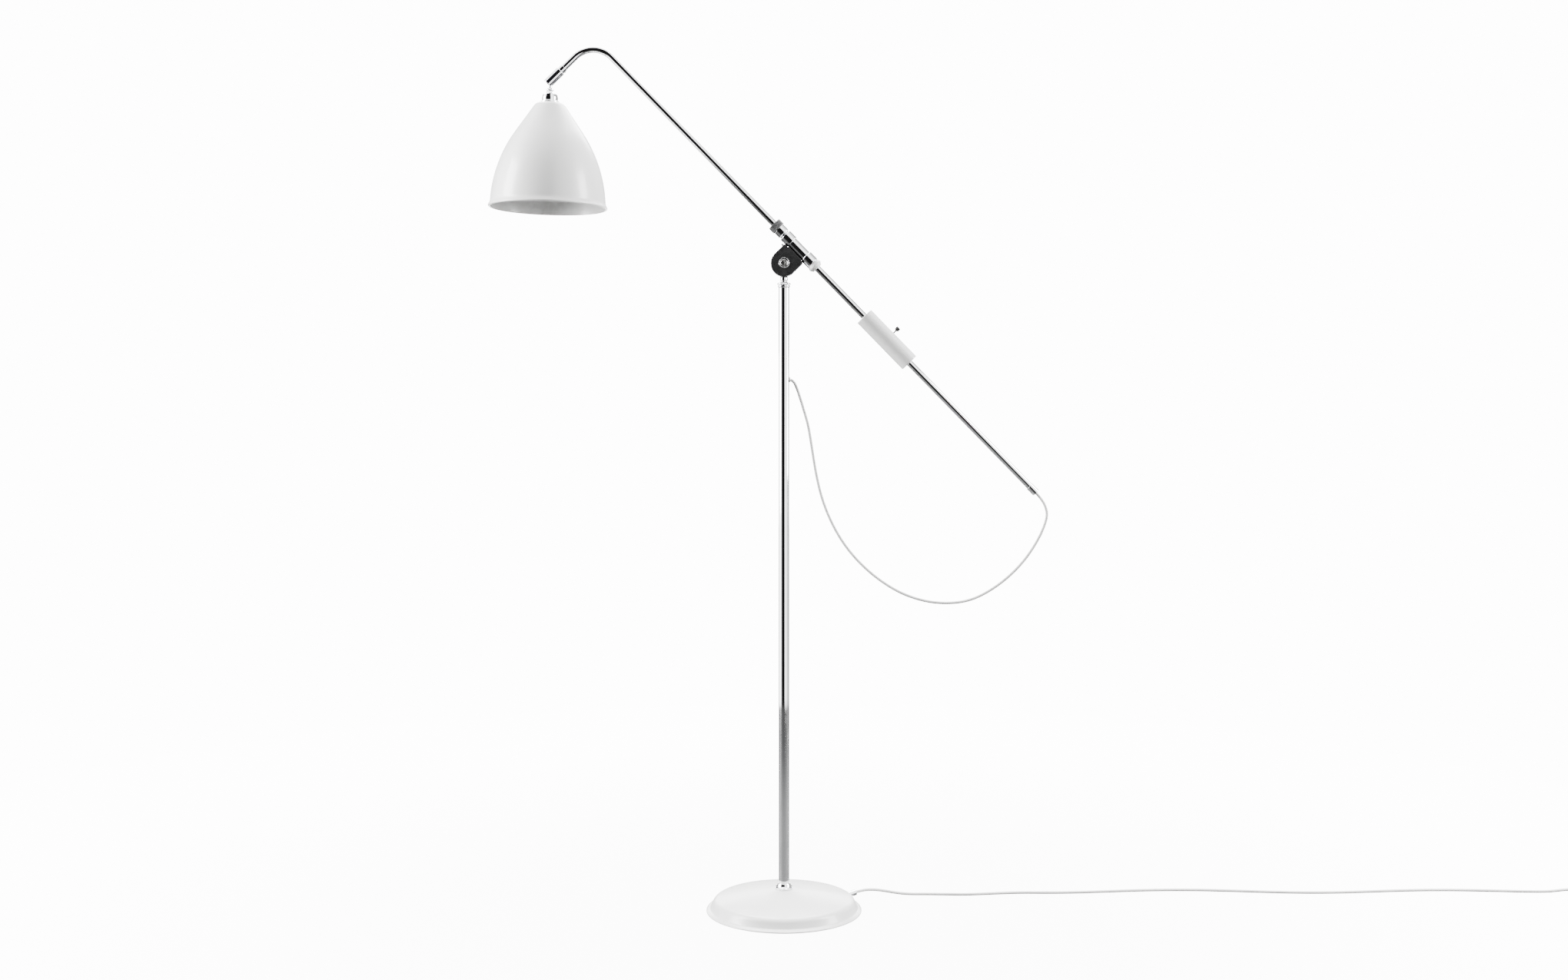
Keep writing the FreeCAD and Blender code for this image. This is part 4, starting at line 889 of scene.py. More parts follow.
def makeClevis():
    # a U-shaped cheek block: half a round below, straight sides, a raised seat under the sleeve
    half, flat, seat = clevis["round"], clevis["flat"], clevis["seat"]
    angles = np.linspace(math.pi, 2 * math.pi, 64)
    below = half * np.stack([np.cos(angles), np.sin(angles)], -1)
    rearEnd, frontEnd = clevis["seatTo"], clevis["seatFrom"]
    above = [
        (half, 0),
        (half, flat, clevis["rounding"]),
        (rearEnd, flat),
        (rearEnd, seat),
        (frontEnd, seat),
        (frontEnd, flat),
        (-half, flat, clevis["rounding"]),
        (-half, 0),
    ]
    outline = np.vstack([below, softOutline(above, closed=False)[1:-1]])
    body = plate("clevisBody", outline, clevis["thickness"], 0.9, clevisTurn)
    slotHeight = 3 * half
    slotPlace = shifted(clevisTurn, y=clevis["slotTop"] - slotHeight / 2)
    return carve(body, block("slotCutter", (4 * half, slotHeight, clevis["slot"]), slotPlace))


settle(makeClevis(), "casting", "clevis_sleeve", "pivot_clevis")

bolt = dict(radius=5.0, end=6.0, head=6.4, headHeight=2.0, slot=1.5, slotDepth=2.4, slotTurn=57.7)
cheek = clevis["thickness"] / 2
boltTop = cheek + bolt["headHeight"]
boltOutline = [
    (0, -cheek - bolt["end"]),
    (bolt["radius"] - 0.6, -cheek - bolt["end"], 0.2),
    (bolt["radius"], 0.6 - cheek - bolt["end"], 0.2),
    (bolt["radius"], cheek),
    (bolt["head"], cheek, 0.1),
    (bolt["head"], boltTop - 0.9, 0.3),
    bow((bolt["head"] - 0.5, boltTop - 0.5), (0, boltTop), 45.0, 10),
]
boltPiece = turned("pivotBolt", boltOutline, throughPivot(0), closed=False, around=72)
slotTurn = math.radians(bolt["slotTurn"])
slotPlace = placeAt(pivot + front * boltTop * mm, front, (math.cos(slotTurn), 0, math.sin(slotTurn)))
carve(boltPiece, block("boltSlot", (bolt["head"] * 3, bolt["slot"], bolt["slotDepth"]), slotPlace))
settle(boltPiece, "zinc", "clevis_sleeve", "pivot_bolt", slot="polished_chrome")

bezel = dict(bore=7.7, radius=9.45, height=1.4)
bezelOutline = [
    (bezel["bore"], 0),
    (bezel["radius"], 0, 0.1),
    (bezel["radius"], bezel["height"], 0.6),
    (bezel["bore"], bezel["height"], 0.6),
]
settle(turned("pivotBezel", bezelOutline, throughPivot(cheek)), "chrome", "clevis_sleeve", "pivot_bezel")


def hexagon(corner, steps=6):
    # a hexagon's outline with points along its sides
    angles = np.arange(6) * math.pi / 3
    corners = corner * np.stack([np.cos(angles), np.sin(angles)], -1)
    share = np.linspace(0, 1, steps, endpoint=False)[None, :, None]
    sides = corners[:, None, :] * (1 - share) + np.roll(corners, -1, 0)[:, None, :] * share
    return sides.reshape(-1, 2)


pivotNut = dict(corner=7.9, height=5.0, edge=0.5)
nutPlace = throughPivot(-cheek - pivotNut["height"] / 2)
nutOutline = hexagon(pivotNut["corner"])
nutPiece = plate("pivotNut", nutOutline, pivotNut["height"], pivotNut["edge"], nutPlace, 30)
settle(nutPiece, "zinc", "clevis_sleeve", "pivot_nut")

clevisScrew = dict(radius=1.8, length=4.6, along=-23.6, up=21.3, slot=(6, 0.6, 1.6))
screwFoot = pivot + (tailward * clevisScrew["along"] + upward * clevisScrew["up"]) * mm
screwPlace = placeAt(screwFoot, -tailward, upward)
screwOutline = [
    (0, 0),
    (clevisScrew["radius"], 0),
    (clevisScrew["radius"], clevisScrew["length"] - 1.2, 0.3),
    (clevisScrew["radius"] - 0.4, clevisScrew["length"], 0.4),
    (0, clevisScrew["length"]),
]
screwPiece = turned("clevisScrew", screwOutline, screwPlace, closed=False, around=40)
carve(screwPiece, block("screwSlot", clevisScrew["slot"], shifted(screwPlace, z=clevisScrew["length"])))
settle(screwPiece, "chrome", "clevis_sleeve", "clevis_screw")

sleeve = dict(start=-60.0, bore=7.2, nose=9.5, mouth=11.2, neck=9.3, ring=11.8, waist=10.0)
sleeveOutline = [
    (sleeve["bore"], 0, 0.2),
    (sleeve["nose"], 0, 0.3),
    (sleeve["nose"], 10.0),
    (sleeve["mouth"], 10.0, 0.5),
    (sleeve["mouth"], 21.9, 0.5),
    (sleeve["neck"], 22.9, 0.3),
    (sleeve["neck"], 25.3, 0.3),
    (sleeve["ring"], 26.0, 0.5),
    (sleeve["ring"], 42.8, 0.5),
    (sleeve["waist"], 43.5, 0.3),
    (sleeve["waist"], 77.8, 0.3),
    (sleeve["ring"], 78.5, 0.5),
    (sleeve["ring"], 95.5, 0.7),
    (sleeve["bore"], 95.5, 0.2),
]
sleevePiece = turned("sleeveTube", sleeveOutline, onArm(sleeve["start"]))
settle(sleevePiece, "chrome", "clevis_sleeve", "sleeve_tube")

colletNut = dict(start=-62.7, radius=12.7, length=12.0, bore=6.3, seat=9.55, knurls=44, depth=0.28)


def nutKnurl(angle, height, radius):
    # straight grip ridges that fade out at both ends of the nut, on its outside only
    fromEnd = np.minimum(height, colletNut["length"] - height)
    along = np.clip((fromEnd - 1.0) / 0.8, 0, 1)
    outside = radius > colletNut["radius"] - 0.3
    ridge = np.abs(np.sin(angle * colletNut["knurls"] / 2)) ** 0.7 - 1.0
    return np.where(outside, colletNut["depth"] * along * ridge * 2, 0.0)


nutOutline = [
    (colletNut["bore"], 0, 0.3),
    (colletNut["radius"], 0, 0.9),
    *[(colletNut["radius"], height) for height in np.linspace(1.6, 10.4, 12)],
    (colletNut["radius"], colletNut["length"], 0.9),
    (colletNut["seat"], colletNut["length"], 0.2),
    (colletNut["seat"], 2.4),
    (colletNut["bore"], 2.4),
]
nutPiece = turned(
    "colletNut", nutOutline, onArm(colletNut["start"]), around=352, ripple=nutKnurl, smooth=50
)
settle(nutPiece, "greyNut", "collet_nut", "collet_nut")

bush = dict(start=9.5, bore=6.05, spigot=7.15, shoulder=26.3, cone=10.9, ridge=12.9, tip=9.1)
bushOutline = [
    (bush["bore"], 0, 0.1),
    (bush["spigot"], 0, 0.3),
    (bush["spigot"], bush["shoulder"]),
    (bush["cone"], bush["shoulder"], 0.3),
    (bush["ridge"], 31.7, 0.5),
    (bush["ridge"], 32.9, 0.5),
    (bush["tip"], 38.3, 0.5),
    (bush["bore"], 38.3, 0.4),
]
settle(turned("armBush", bushOutline, onArm(bush["start"])), "nylon", "arm_bush", "arm_bush")
print("clevis and sleeve made")

# arm, its ends and the counterweight

arm = dict(radius=6.0, tail=604.0, corner=522.5, bend=46.0)


def makeArm():
    # a straight tube, a quarter bend and a short straight end
    bend, corner = arm["bend"], arm["corner"]
    straight = np.linspace(arm["tail"], -corner + bend, 60)[:, None]
    turnPart = np.linspace(0, math.pi / 2, 40)[1:-1, None]
    down = np.linspace(bend, armEnd, 12)[:, None]
    middle = armFoot + (tailward * (bend - corner) + endward * bend) * mm
    path = np.vstack(
        [
            armFoot + straight * tailward * mm,
            middle - (np.sin(turnPart) * tailward + np.cos(turnPart) * endward) * bend * mm,
            armCorner + down * endward * mm,
        ]
    )
    return sweptTube("armTube", path, arm["radius"], 48)


settle(makeArm(), "chrome", "arm", "arm_tube")

ferrule = dict(start=589.0, bore=6.05, radius=7.0, length=16.5, lip=2.55)
ferruleOutline = [
    (ferrule["bore"], 0, 0.1),
    (ferrule["radius"], 0, 0.35),
    (ferrule["radius"], ferrule["length"], 0.7),
    (ferrule["lip"], ferrule["length"], 0.3),
    (ferrule["lip"], 15.1),
    (ferrule["bore"], 15.1),
]
ferrulePiece = turned("tailFerrule", ferruleOutline, onArm(ferrule["start"]), around=72)
settle(ferrulePiece, "chrome", "arm", "tail_ferrule")

endCollar = dict(start=73.5, bore=6.05, radius=6.9, length=8.6)
endCollarOutline = [
    (endCollar["bore"], 0, 0.1),
    (endCollar["radius"], 0, 0.35),
    (endCollar["radius"], endCollar["length"], 0.35),
    (endCollar["bore"], endCollar["length"], 0.1),
]
endCollarPiece = turned("endCollar", endCollarOutline, onArmEnd(endCollar["start"]))
settle(endCollarPiece, "chrome", "arm", "end_collar")

setScrew = dict(along=77.8, radius=1.5, foot=6.1, height=1.8, socket=(1.4, 1.4, 1.6))
setScrewFoot = armCorner + (endward * setScrew["along"] + tailward * setScrew["foot"]) * mm
setScrewPlace = placeAt(setScrewFoot, tailward, front)
setScrewOutline = [
    (0, 0),
    (setScrew["radius"], 0),
    (setScrew["radius"], setScrew["height"], 0.3),
    (0, setScrew["height"]),
]
setScrewPiece = turned("collarScrew", setScrewOutline, setScrewPlace, closed=False, around=32)
carve(setScrewPiece, block("hexSocket", setScrew["socket"], shifted(setScrewPlace, z=setScrew["height"])))
settle(setScrewPiece, "zinc", "arm", "collar_screw")

counterweight = dict(start=167.0, length=115.4, radius=17.0, bore=6.1, edge=1.5)
weightOutline = [
    (counterweight["bore"], 0, 0.3),
    (counterweight["radius"], 0, counterweight["edge"]),
    (counterweight["radius"], counterweight["length"], counterweight["edge"]),
    (counterweight["bore"], counterweight["length"], 0.3),
]
weightPiece = turned("counterweightBody", weightOutline, onArm(counterweight["start"]), around=128)
settle(weightPiece, "lacquer", "counterweight", "counterweight")

thumbscrew = dict(stem=1.3, foot=6.3, stand=23.6, head=4.0, headHeight=6.5, grips=16)
thumbMiddle = armFoot + tailward * (counterweight["start"] + counterweight["length"] / 2) * mm
headFoot = thumbscrew["stand"] - thumbscrew["foot"]
headTop = headFoot + thumbscrew["headHeight"]


def screwGrip(angle, height, radius):
    # rounded flutes on the head's side
    side = (radius > thumbscrew["head"] - 0.3) & (height > headFoot + 0.4)
    return np.where(side, -0.35 * np.abs(np.sin(angle * thumbscrew["grips"] / 2)), 0.0)


thumbOutline = [
    (0, 0),
    (thumbscrew["stem"] - 0.3, 0, 0.1),
    (thumbscrew["stem"], 0.4),
    (thumbscrew["stem"], headFoot - 1.0),
    (2.2, headFoot - 0.8, 0.2),
    (2.2, headFoot, 0.1),
    (thumbscrew["head"] - 0.3, headFoot, 0.2),
    *[(thumbscrew["head"], height) for height in np.linspace(headFoot + 0.5, headTop - 1.1, 8)],
    (thumbscrew["head"], headTop - 0.6, 0.3),
    (thumbscrew["head"] - 0.9, headTop, 0.4),
    (0, headTop),
]
thumbPlace = placeAt(thumbMiddle + upward * thumbscrew["foot"] * mm, upward, tailward)
thumbPiece = turned(
    "thumbscrewBody", thumbOutline, thumbPlace, closed=False, around=128, ripple=screwGrip
)
settle(thumbPiece, "blackPlastic", "thumbscrew", "thumbscrew")
print("arm and counterweight made")

# knuckle, ball and shade holder

knuckle = dict(
    start=82.4,
    length=32.6,
    radius=8.6,
    grip=6.05,
    chamber=6.8,
    lip=5.6,
    ballUp=25.6,
    slot=3.8,
    slotOver=4.0,
)
knuckleOutline = [
    (knuckle["grip"], 0, 0.2),
    (knuckle["radius"], 0, 0.7),
    (knuckle["radius"], knuckle["length"], 0.9),
    (knuckle["lip"], knuckle["length"], 0.3),
    (knuckle["lip"], 31.4),
    (knuckle["chamber"], 29.5),
    (knuckle["chamber"], 12.9),
    (knuckle["grip"], 12.1),
]
knucklePlace = onArmEnd(knuckle["start"])
knucklePiece = turned("knuckleSocket", knuckleOutline, knucklePlace)
slotReach = knuckle["radius"] * 2
slotRun = knuckle["length"] - knuckle["ballUp"] + knuckle["slotOver"]
slotAngles = np.linspace(0, 2 * math.pi, 32, endpoint=False)
slotRound = knuckle["slot"] * np.stack([np.cos(slotAngles), np.sin(slotAngles)], -1)
slotRound[:, 0] = np.where(slotRound[:, 0] > 0.001, slotRound[:, 0] + slotRun, slotRound[:, 0])
slotPlace = placeAt(
    armCorner + endward * (knuckle["start"] + knuckle["ballUp"]) * mm + tailward * slotReach / 2 * mm,
    tailward,
    endward,
)
carve(knucklePiece, plate("knuckleSlot", slotRound, slotReach, 0.01, slotPlace))
settle(knucklePiece, "chrome", "knuckle", "knuckle_socket")

ballStem = dict(depth=27.0, bore=2.1, stem=3.4, ring=6.6, ball=6.5)
fromStem, toBore = (math.acos(ballStem[part] / ballStem["ball"]) for part in ("stem", "bore"))
ballAngles = np.linspace(-fromStem, toBore, 28)
stemBall = ballStem["ball"] * np.stack([np.cos(ballAngles), np.sin(ballAngles)], -1)
stemBall += [0, ballStem["depth"]]
stemOutline = [
    (ballStem["bore"], 0),
    (ballStem["stem"], 0, 0.3),
    (ballStem["stem"], 9.4),
    (4.6, 9.4, 0.3),
    (ballStem["ring"], 10.4, 0.4),
    (ballStem["ring"], 11.4, 0.5),
    (4.4, 14.0, 0.6),
    (ballStem["stem"], 14.4, 0.4),
    stemBall,
]
stemPiece = turned("ballStem", stemOutline, underBall(ballStem["depth"]), around=64)
settle(stemPiece, "chrome", "shade_stem", "ball_stem")

gallery = dict(depth=38.45, hole=3.45, top=19.9, flange=16.3, waist=14.3)
galleryOutline = [
    (13.0, 0, 0.1),
    (gallery["flange"], 0, 0.4),
    (gallery["flange"], 1.9, 0.6),
    (13.8, 3.4, 0.5),
    (gallery["waist"], 5.4, 0.6),
    (gallery["waist"], 9.0, 0.8),
    (13.1, 13.2, 0.5),
    bow((12.9, 14.1), (5.95, gallery["top"]), 9.0, 16),
    (gallery["hole"], gallery["top"], 0.2),
    (gallery["hole"], 18.7, 0.1),
    bow((5.55, 18.7), (11.2, 13.5), -8.0, 10),
    (12.0, 13.1, 0.2),
    (12.6, 8.4, 0.3),
    (13.0, 4.6, 0.2),
]
galleryPiece = turned("shadeGallery", galleryOutline, underBall(gallery["depth"]))
settle(galleryPiece, "chrome", "shade", "shade_gallery")
print("knuckle and holder made")

# shade, lampholder and bulb

shade = dict(start=38.5, height=188.2, hole=13.2, wall=1.2, belly=242.0)


def makeShade():
    # a bell in two thin skins: flat crown, round shoulder, straight cone, long belly, flared beaded rim
    top, wall = shade["height"], shade["wall"]
    shoulder, cone = (28.4, top - 6.5), (60.2, top - 53.3)
    waist = (102.0, 11.9)
    slant = np.array((0.824, 0.566)) * wall
    innerShoulder, innerCone = np.array(shoulder) - slant, np.array(cone) - slant
    outline = [
        (shade["hole"], top, 0.2),
        bow((16.0, top), shoulder, 15.0, 16),
        np.linspace(shoulder, cone, 10)[1:-1],
        bow(cone, waist, shade["belly"], 56),
        bow(waist, (104.3, 5.4), -14.0, 8)[1:],
        bow((104.6, 4.4), (103.1, 0.2), 2.35, 14),
        (101.7, 0.9, 0.3),
        (101.4, 4.2, 0.8),
        bow((waist[0] - wall, waist[1]), innerCone, -shade["belly"], 56),
        np.linspace(innerCone, innerShoulder, 8)[1:-1],
        bow(innerShoulder, (16.0, top - wall), -13.8, 12),
        (shade["hole"], top - wall, 0.2),
    ]
    return turned("shadeBell", outline, underBall(shade["start"] + top), around=224, smooth=50)


settle(makeShade(), "lacquer", "shade", "shade", slot="white_aluminium")

holder = dict(depth=69.45, radius=12.9, shell=7.6, length=34.2, ribs=36)


def holderRibs(angle, height, radius):
    # moulded grip ribs round the skirt of the holder
    side = (radius > holder["radius"] - 0.2) & (height > 2.0) & (height < 20.0)
    return np.where(side, -0.3 * np.abs(np.sin(angle * holder["ribs"] / 2)), 0.0)


holderOutline = [
    (holder["shell"], 0, 0.2),
    (holder["radius"], 0, 0.8),
    *[(holder["radius"], height) for height in np.linspace(1.6, 20.4, 10)],
    (holder["radius"], holder["length"], 0.3),
    (11.4, holder["length"], 0.2),
    (11.4, 41.4, 0.5),
    (2.2, 41.4, 0.2),
    (2.2, 26.0, 0.2),
    (holder["shell"], 26.0, 0.3),
]
holderPiece = turned(
    "lampholder", holderOutline, underBall(holder["depth"]), around=216, ripple=holderRibs
)
settle(holderPiece, "blackPlastic", "shade", "lampholder")

shadeRing = dict(top=40.0, height=4.6, bore=12.95, radius=18.5, grips=30)


def ringGrips(angle, height, radius):
    # shallow finger scallops round the ring
    side = radius > shadeRing["radius"] - 0.2
    return np.where(side, -0.5 * np.abs(np.sin(angle * shadeRing["grips"] / 2)), 0.0)


ringOutline = [
    (shadeRing["bore"], 0, 0.3),
    (shadeRing["radius"], 0, 0.5),
    (shadeRing["radius"], shadeRing["height"], 0.4),
    (shadeRing["bore"], shadeRing["height"], 0.2),
]
ringPlace = underBall(shadeRing["top"] + shadeRing["height"])
ringPiece = turned("shadeRing", ringOutline, ringPlace, around=180, ripple=ringGrips)
settle(ringPiece, "blackPlastic", "shade", "shade_ring")

bulb = dict(
    capDepth=67.95,
    cap=6.9,
    threadPitch=3.0,
    globe=22.5,
    glass=0.8,
    height=52.0,
    neck=6.8,
    draw=0.645,
)


def capThread(angle, height, radius):
    # the rolled screw thread of the cap, a wave that climbs one pitch each turn
    side = (radius > bulb["cap"] - 0.3) & (height > 1.5) & (height < 15.5)
    wave = np.cos(height / bulb["threadPitch"] * 2 * math.pi - angle)
    return np.where(side, -0.3 + 0.3 * wave, 0.0)


capHeights = np.linspace(0.6, 16.4, 44)
capShape = [(0, 0), (6.3, 0, 0.3), *[(bulb["cap"], height) for height in capHeights]]
capShape += [(6.4, 17.2, 0.3), (4.0, 19.4, 0.3), (2.5, 20.0), (2.5, 20.5, 0.2), (0, 20.5)]
capPiece = turned(
    "bulbCap", capShape, underBall(bulb["capDepth"]), closed=False, around=64, ripple=capThread
)
settle(capPiece, "brass", "shade", "bulb_cap")


def makeBulb():
    # a round globe that draws in to its neck, in two skins
    globe, glass, height, neckOut = (bulb[key] for key in ("globe", "glass", "height", "neck"))
    shoulderAngle = math.acos(bulb["draw"])
    outer = np.linspace(-math.pi / 2, shoulderAngle, 44)
    shoulder = (globe * bulb["draw"], globe + globe * math.sin(shoulderAngle))
    inner = np.linspace(shoulderAngle, -math.pi / 2, 44)
    inside = globe - glass
    insideShoulder = (inside * bulb["draw"], globe + inside * math.sin(shoulderAngle))
    outline = [
        np.stack([globe * np.cos(outer), globe + globe * np.sin(outer)], -1),
        bow(shoulder, (neckOut, height - 2.0), -14.0, 12)[1:],
        (neckOut, height),
        (neckOut - glass, height),
        bow((neckOut - glass, height - 2.0), insideShoulder, 14.0, 12)[:-1],
        np.stack([inside * np.cos(inner), globe + inside * np.sin(inner)], -1),
    ]
    return turned("bulbGlass", outline, underBall(bulb["capDepth"] + height), closed=False, around=96)


settle(makeBulb(), "opal", "shade", "bulb_glass")
print("shade and bulb made")

# inline switch and plug

switch = dict(
    length=62.0,
    width=24.0,
    height=15.0,
    shells={
        "switchBase": dict(node="switch_base", middle=3.7, thickness=7.4, edge=0.7),
        "switchCover": dict(node="switch_cover", middle=11.25, thickness=7.5, edge=1.4),
    },
    window=(18.6, 11.6, 22.0),
    rocker=(18.0, 11.0),
    up=4.0,
)
switchPlace = placeAt(boxMiddle("switch_base") * np.array((1, 1, 0)), skyward, (1, 0, 0))


def stadium(length, width, steps=24):
    # a rectangle with round ends
    angles = np.linspace(-math.pi / 2, math.pi / 2, steps)
    right = width / 2 * np.stack([np.cos(angles), np.sin(angles)], -1) + [(length - width) / 2, 0]
    return np.vstack([right, -right])


for name, half in switch["shells"].items():
    outline = stadium(switch["length"], switch["width"])
    place = shifted(switchPlace, z=half["middle"])
    shell = plate(name, outline, half["thickness"], half["edge"], place)
    carve(shell, block("switchWindow", switch["window"], shifted(switchPlace, z=switch["height"])))
    settle(shell, "nylon", "stand", half["node"])


def makeRocker():
    # a shallow arched key: ends on one circle about its pin, a crowned top
    reach = switch["rocker"][0] / 2
    side = reach * 0.95
    drop = math.sqrt(reach**2 - side**2)
    ends = np.linspace(-math.asin(drop / reach), math.asin(drop / reach), 8)
    right = reach * np.stack([np.cos(ends), np.sin(ends)], -1)
    crown = bow((side, drop), (-side, drop), -reach * 2, 20)[1:-1]
    left = right[::-1] * np.array((-1, 1))
    outline = np.vstack([right, crown, left])
    pin = shifted(switchPlace, z=switch["height"] - switch["up"])[:3, 3]
    place = placeAt(pin, front, (1, 0, 0))
    return plate("switchRocker", outline, switch["rocker"][1], 0.5, place)


settle(makeRocker(), "nylon", "switch_rocker", "switch_rocker")

plug = dict(
    length=36.0,
    width=35.0,
    height=13.8,
    neck=18.0,
    bore=2.55,
    pin=2.0,
    pinLength=19.0,
    spacing=19.0,
)
plugLow, plugHigh = (np.array(corner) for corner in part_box("plug_body"))
plugFace = np.array((plugLow[0], (plugLow[1] + plugHigh[1]) / 2, (plugLow[2] + plugHigh[2]) / 2))
plugBack = plugFace + np.array((plug["length"] * mm, 0, 0))


def makePlugBody():
    # rounded blocks carried from the pin face to the cord end, each a superellipse across
    share = np.concatenate([[0, 0, 0.02], np.linspace(0.06, 0.94, 24), [0.98, 1.0, 1.0]])[:, None]
    width = np.interp(share, [0, 0.1, 0.55, 0.85, 1], [0.72, 0.88, 1.0, 0.72, 0.42]) * plug["width"] / 2
    height = np.interp(share, [0, 0.5, 1], [0.94, 1.0, 0.86]) * plug["height"] / 2
    close = np.concatenate([[0.0, 0.93, 0.985], np.ones(24), [0.98, 0.9, 0.0]])[:, None]
    angle = np.linspace(0, 2 * math.pi, 72, endpoint=False)[None, :]
    across = width * close * np.sign(np.cos(angle)) * np.abs(np.cos(angle)) ** 0.55
    up = height * close * np.sign(np.sin(angle)) * np.abs(np.sin(angle)) ** 0.55
    grips = ((share > 0.2) & (share < 0.6)) * 0.35 * np.sin(share * 2 * math.pi * 16)
    along = share * plug["length"] + 0 * angle
    grid = np.stack([along, across * (1 + grips * 0.02), up], -1) * mm + plugFace
    faces = gridFaces(grid.shape[0], grid.shape[1], False)
    return newPiece("plugBody", grid.reshape(-1, 3), faces, 60)


settle(makePlugBody(), "nylon", "stand", "plug_body")


def neckRibs(angle, height, radius):
    # soft rings that let the neck bend
    side = (radius > 3.0) & (height > 1.5) & (height < 16.5)
    return np.where(side, -0.35 * (1 + np.cos(height * 2 * math.pi / 2.4)) / 2, 0.0)


plugNeckOutline = [
    (plug["bore"], 0),
    (5.4, 0, 0.3),
    *np.linspace((5.35, 0.6), (3.8, plug["neck"] - 0.6), 56).tolist(),
    (3.7, plug["neck"], 0.2),
    (plug["bore"], plug["neck"]),
]
plugNeckPlace = placeAt(plugBack, (1, 0, 0), skyward)
plugNeckPiece = turned("plugNeck", plugNeckOutline, plugNeckPlace, around=40, ripple=neckRibs)
settle(plugNeckPiece, "nylon", "stand", "plug_neck")


def makePins():
    # two round pins with domed tips, in one piece
    tips = np.linspace(0, math.pi / 2, 8)
    radius, shank = plug["pin"], plug["pinLength"] - plug["pin"]
    tip = radius * np.stack([np.cos(tips), np.sin(tips)], -1) + [0, shank]
    outline = [(0, 0), (radius, 0, 0.1), tip]
    pins = []
    for side in (-1, 1):
        foot = plugFace + np.array((0, side * plug["spacing"] / 2 * mm, 0))
        place = placeAt(foot, (-1, 0, 0), skyward)
        pins.append(turned("plugPins", outline, place, closed=False, around=32))
    work = bmesh.new()
    for pin in pins:
        work.from_mesh(pin.data)
    work.to_mesh(pins[0].data)
    work.free()
    bpy.data.objects.remove(pins[1])
    pins[0].name = "plugPins"
    return pins[0]


settle(makePins(), "brass", "stand", "plug_pins")
print("switch and plug made")

# the parts that keep their own shape get their finish

insideFinishes = {
    "iron": ("base_weight",),
    "rubber": ("base_pad",),
    "zinc": (
        "tie_rod",
        "tie_washer",
        "tie_nut",
        "gland_nut",
        "post_foot",
        "swivel_nut",
        "stem_nut",
        "sleeve_collet",
        "rocker_pin",
    ),
    "cord": ("post_flex", "arm_flex"),
    "blackPlastic": ("ball_seat",),
    "nylon": ("friction_washer_front", "friction_washer_rear"),
}
for finish, names in insideFinishes.items():
    for name in names:
        for materialSlot in frame["nodes"][name].material_slots:
            materialSlot.material = finishes[finish]

# floor and light

floorSet = dict(
    radius=2.1,
    sink=0.2,
    # the glow as seen, weaker near the lamp than far off: a faint painted shade round the lamp's foot
    seen=dict(From_Min=0.2, From_Max=1.68, To_Min=11.5, To_Max=14.0),
    bounce=dict(From_Min=0.5, From_Max=1.6, To_Min=0.065, To_Max=0.008),
)


def makeFloor():
    # a pale disc, brightened by a glow as it is seen so that its edge melts into the backdrop; the glow
    # is a little weaker near the lamp, a faint painted shade round its foot
    angle = np.linspace(0, 2 * math.pi, 128, endpoint=False)
    rings = np.linspace(0, floorSet["radius"], 6)[:, None]
    level = 0 * rings * angle - floorSet["sink"] * mm
    grid = np.stack([rings * np.cos(angle), rings * np.sin(angle), level], -1)
    floor = newPiece("floor", grid.reshape(-1, 3), gridFaces(len(rings), len(angle), False))
    finish = Finish("paleFloor", IOR=1.3, Emission_Color=(1, 1, 1, 1))
    finish.roughness(Scale=6.0, Low=0.75, High=0.9)
    away = addNode(finish.tree, "VectorMath")
    away.operation = "LENGTH"
    # the glow as seen, lower near the lamp: painted shade round its foot
    glowWithPaintedShade = addNode(finish.tree, "MapRange", **floorSet["seen"])
    dim = addNode(finish.tree, "MapRange", **floorSet["bounce"])
    glowWithPaintedShade.interpolation_type = dim.interpolation_type = "SMOOTHSTEP"
    seen = addNode(finish.tree, "Math")
    seen.operation = "MULTIPLY"
    joinUp(
        finish.tree,
        (finish.position, away.inputs[0]),
        (away.outputs["Value"], glowWithPaintedShade.inputs["Value"]),
        (away.outputs["Value"], dim.inputs["Value"]),
        (glowWithPaintedShade.outputs["Result"], seen.inputs[0]),
        (addNode(finish.tree, "LightPath").outputs["Is Camera Ray"], seen.inputs[1]),
        (seen.outputs[0], finish.shader["Emission Strength"]),
        (dim.outputs["Result"], finish.shader["Base Color"]),
    )
    floor.data.materials.append(finish.material)


makeFloor()

softBoxes = {
    "leftBox": dict(place=(-2.9, -0.5, 1.7), target=(-0.2, 0, 0.9), size=(1.0, 2.4), power=400),
    "rightBox": dict(place=(2.9, -0.4, 1.8), target=(0.2, 0, 0.9), size=(1.0, 2.4), power=330),
    "topBox": dict(place=(-0.1, 1.5, 3.2), target=(0, 0, 0), size=(2.6, 2.6), power=400),
    "backBox": dict(place=(0, 2.3, 0.8), target=(0, 0, 0), size=(2.6, 0.6), power=55),
}


def softBox(name, place, target, size, power):
    light = bpy.data.lights.new(name, "AREA")
    light.shape = "RECTANGLE"
    light.size, light.size_y = size
    light.energy = power
    made = bpy.data.objects.new(name, light)
    made.location = place
    aim = Vector(target) - Vector(place)
    made.rotation_euler = aim.to_track_quat("-Z", "Y").to_euler()
    scene.collection.objects.link(made)


for name, values in softBoxes.items():
    softBox(name, **values)

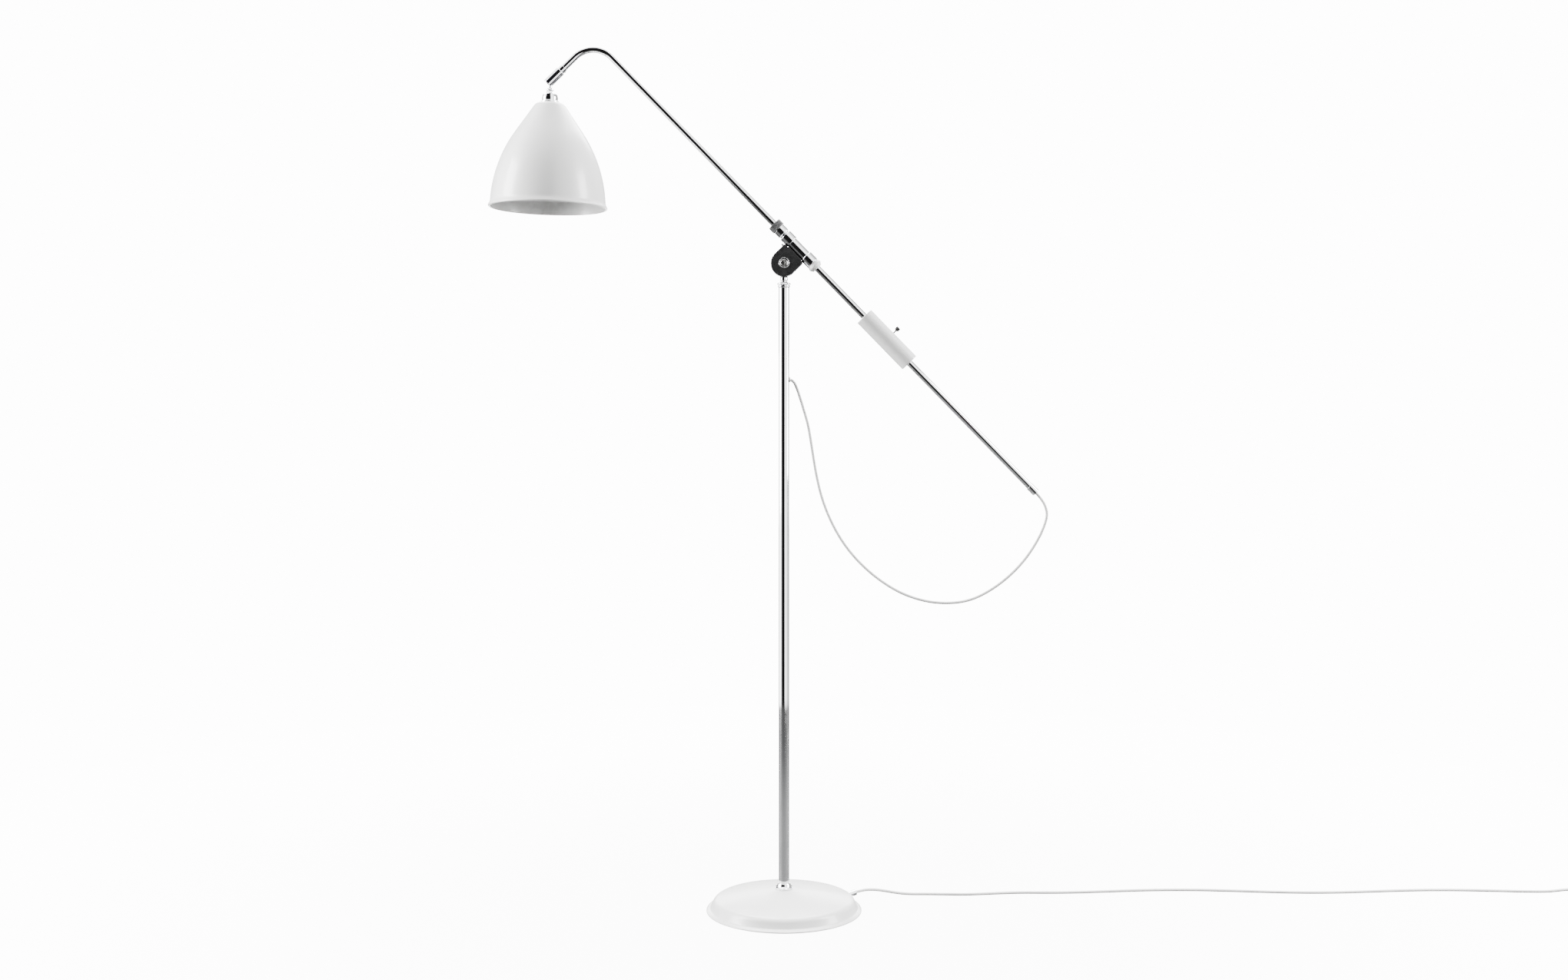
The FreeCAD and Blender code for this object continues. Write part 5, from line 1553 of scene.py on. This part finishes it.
studio = dict(
    fill=0.24,
    roof=5.0,
    roofEdge=dict(From_Min=0.72, From_Max=0.86),
    backdrop=14.0,
    bands=[
        (0.0, 0.15),
        (0.15, 0.12),
        (0.18, 7.0),
        (0.30, 6.0),
        (0.36, 0.02),
        (0.535, 0.008),
        (0.575, 5.0),
        (0.68, 2.5),
        (0.76, 1.0),
        (0.90, 0.8),
        (1.0, 0.3),
    ],
)


def makeStudio():
    # a soft room; in reflections it has bands round the vertical: white walls and a dark side
    world = bpy.data.worlds.new("studio")
    scene.world = world
    world.use_nodes = True
    tree = world.node_tree
    tree.nodes.clear()
    way = addNode(tree, "TexCoord")
    split = addNode(tree, "SeparateXYZ")
    facing = addNode(tree, "Math")
    facing.operation = "MULTIPLY"
    facing.inputs[1].default_value = -1.0
    around = addNode(tree, "Math")
    around.operation = "ARCTAN2"
    share = addNode(tree, "MapRange", From_Min=-math.pi, From_Max=math.pi)
    bands = addNode(tree, "ValToRGB")
    stops = bands.color_ramp.elements
    while len(stops) < len(studio["bands"]):
        stops.new(0.5)
    for stop, (place, tone) in zip(stops, studio["bands"]):
        stop.position = place
        stop.color = (tone, tone, tone, 1)
    height = addNode(tree, "MapRange", **studio["roofEdge"])
    roof = addMix(tree, B=[studio["roof"]] * 3)
    rays = addNode(tree, "LightPath")
    lit = addMix(tree, A=[studio["fill"]] * 3)
    seen = addMix(tree, B=[studio["backdrop"]] * 3)
    background = addNode(tree, "Background")
    joinUp(
        tree,
        (way.outputs["Generated"], split.inputs["Vector"]),
        (split.outputs["Y"], facing.inputs[0]),
        (split.outputs["X"], around.inputs[0]),
        (facing.outputs[0], around.inputs[1]),
        (around.outputs[0], share.inputs["Value"]),
        (share.outputs["Result"], bands.inputs["Fac"]),
        (split.outputs["Z"], height.inputs["Value"]),
        (height.outputs["Result"], roof.inputs["Factor"]),
        (bands.outputs["Color"], roof.inputs["A"]),
        (roof.outputs["Result"], lit.inputs["B"]),
        (rays.outputs["Is Glossy Ray"], lit.inputs["Factor"]),
        (lit.outputs["Result"], seen.inputs["A"]),
        (rays.outputs["Is Camera Ray"], seen.inputs["Factor"]),
        (seen.outputs["Result"], background.inputs["Color"]),
        (background.outputs["Background"], addNode(tree, "OutputWorld").inputs["Surface"]),
    )


makeStudio()
print("floor and light set")
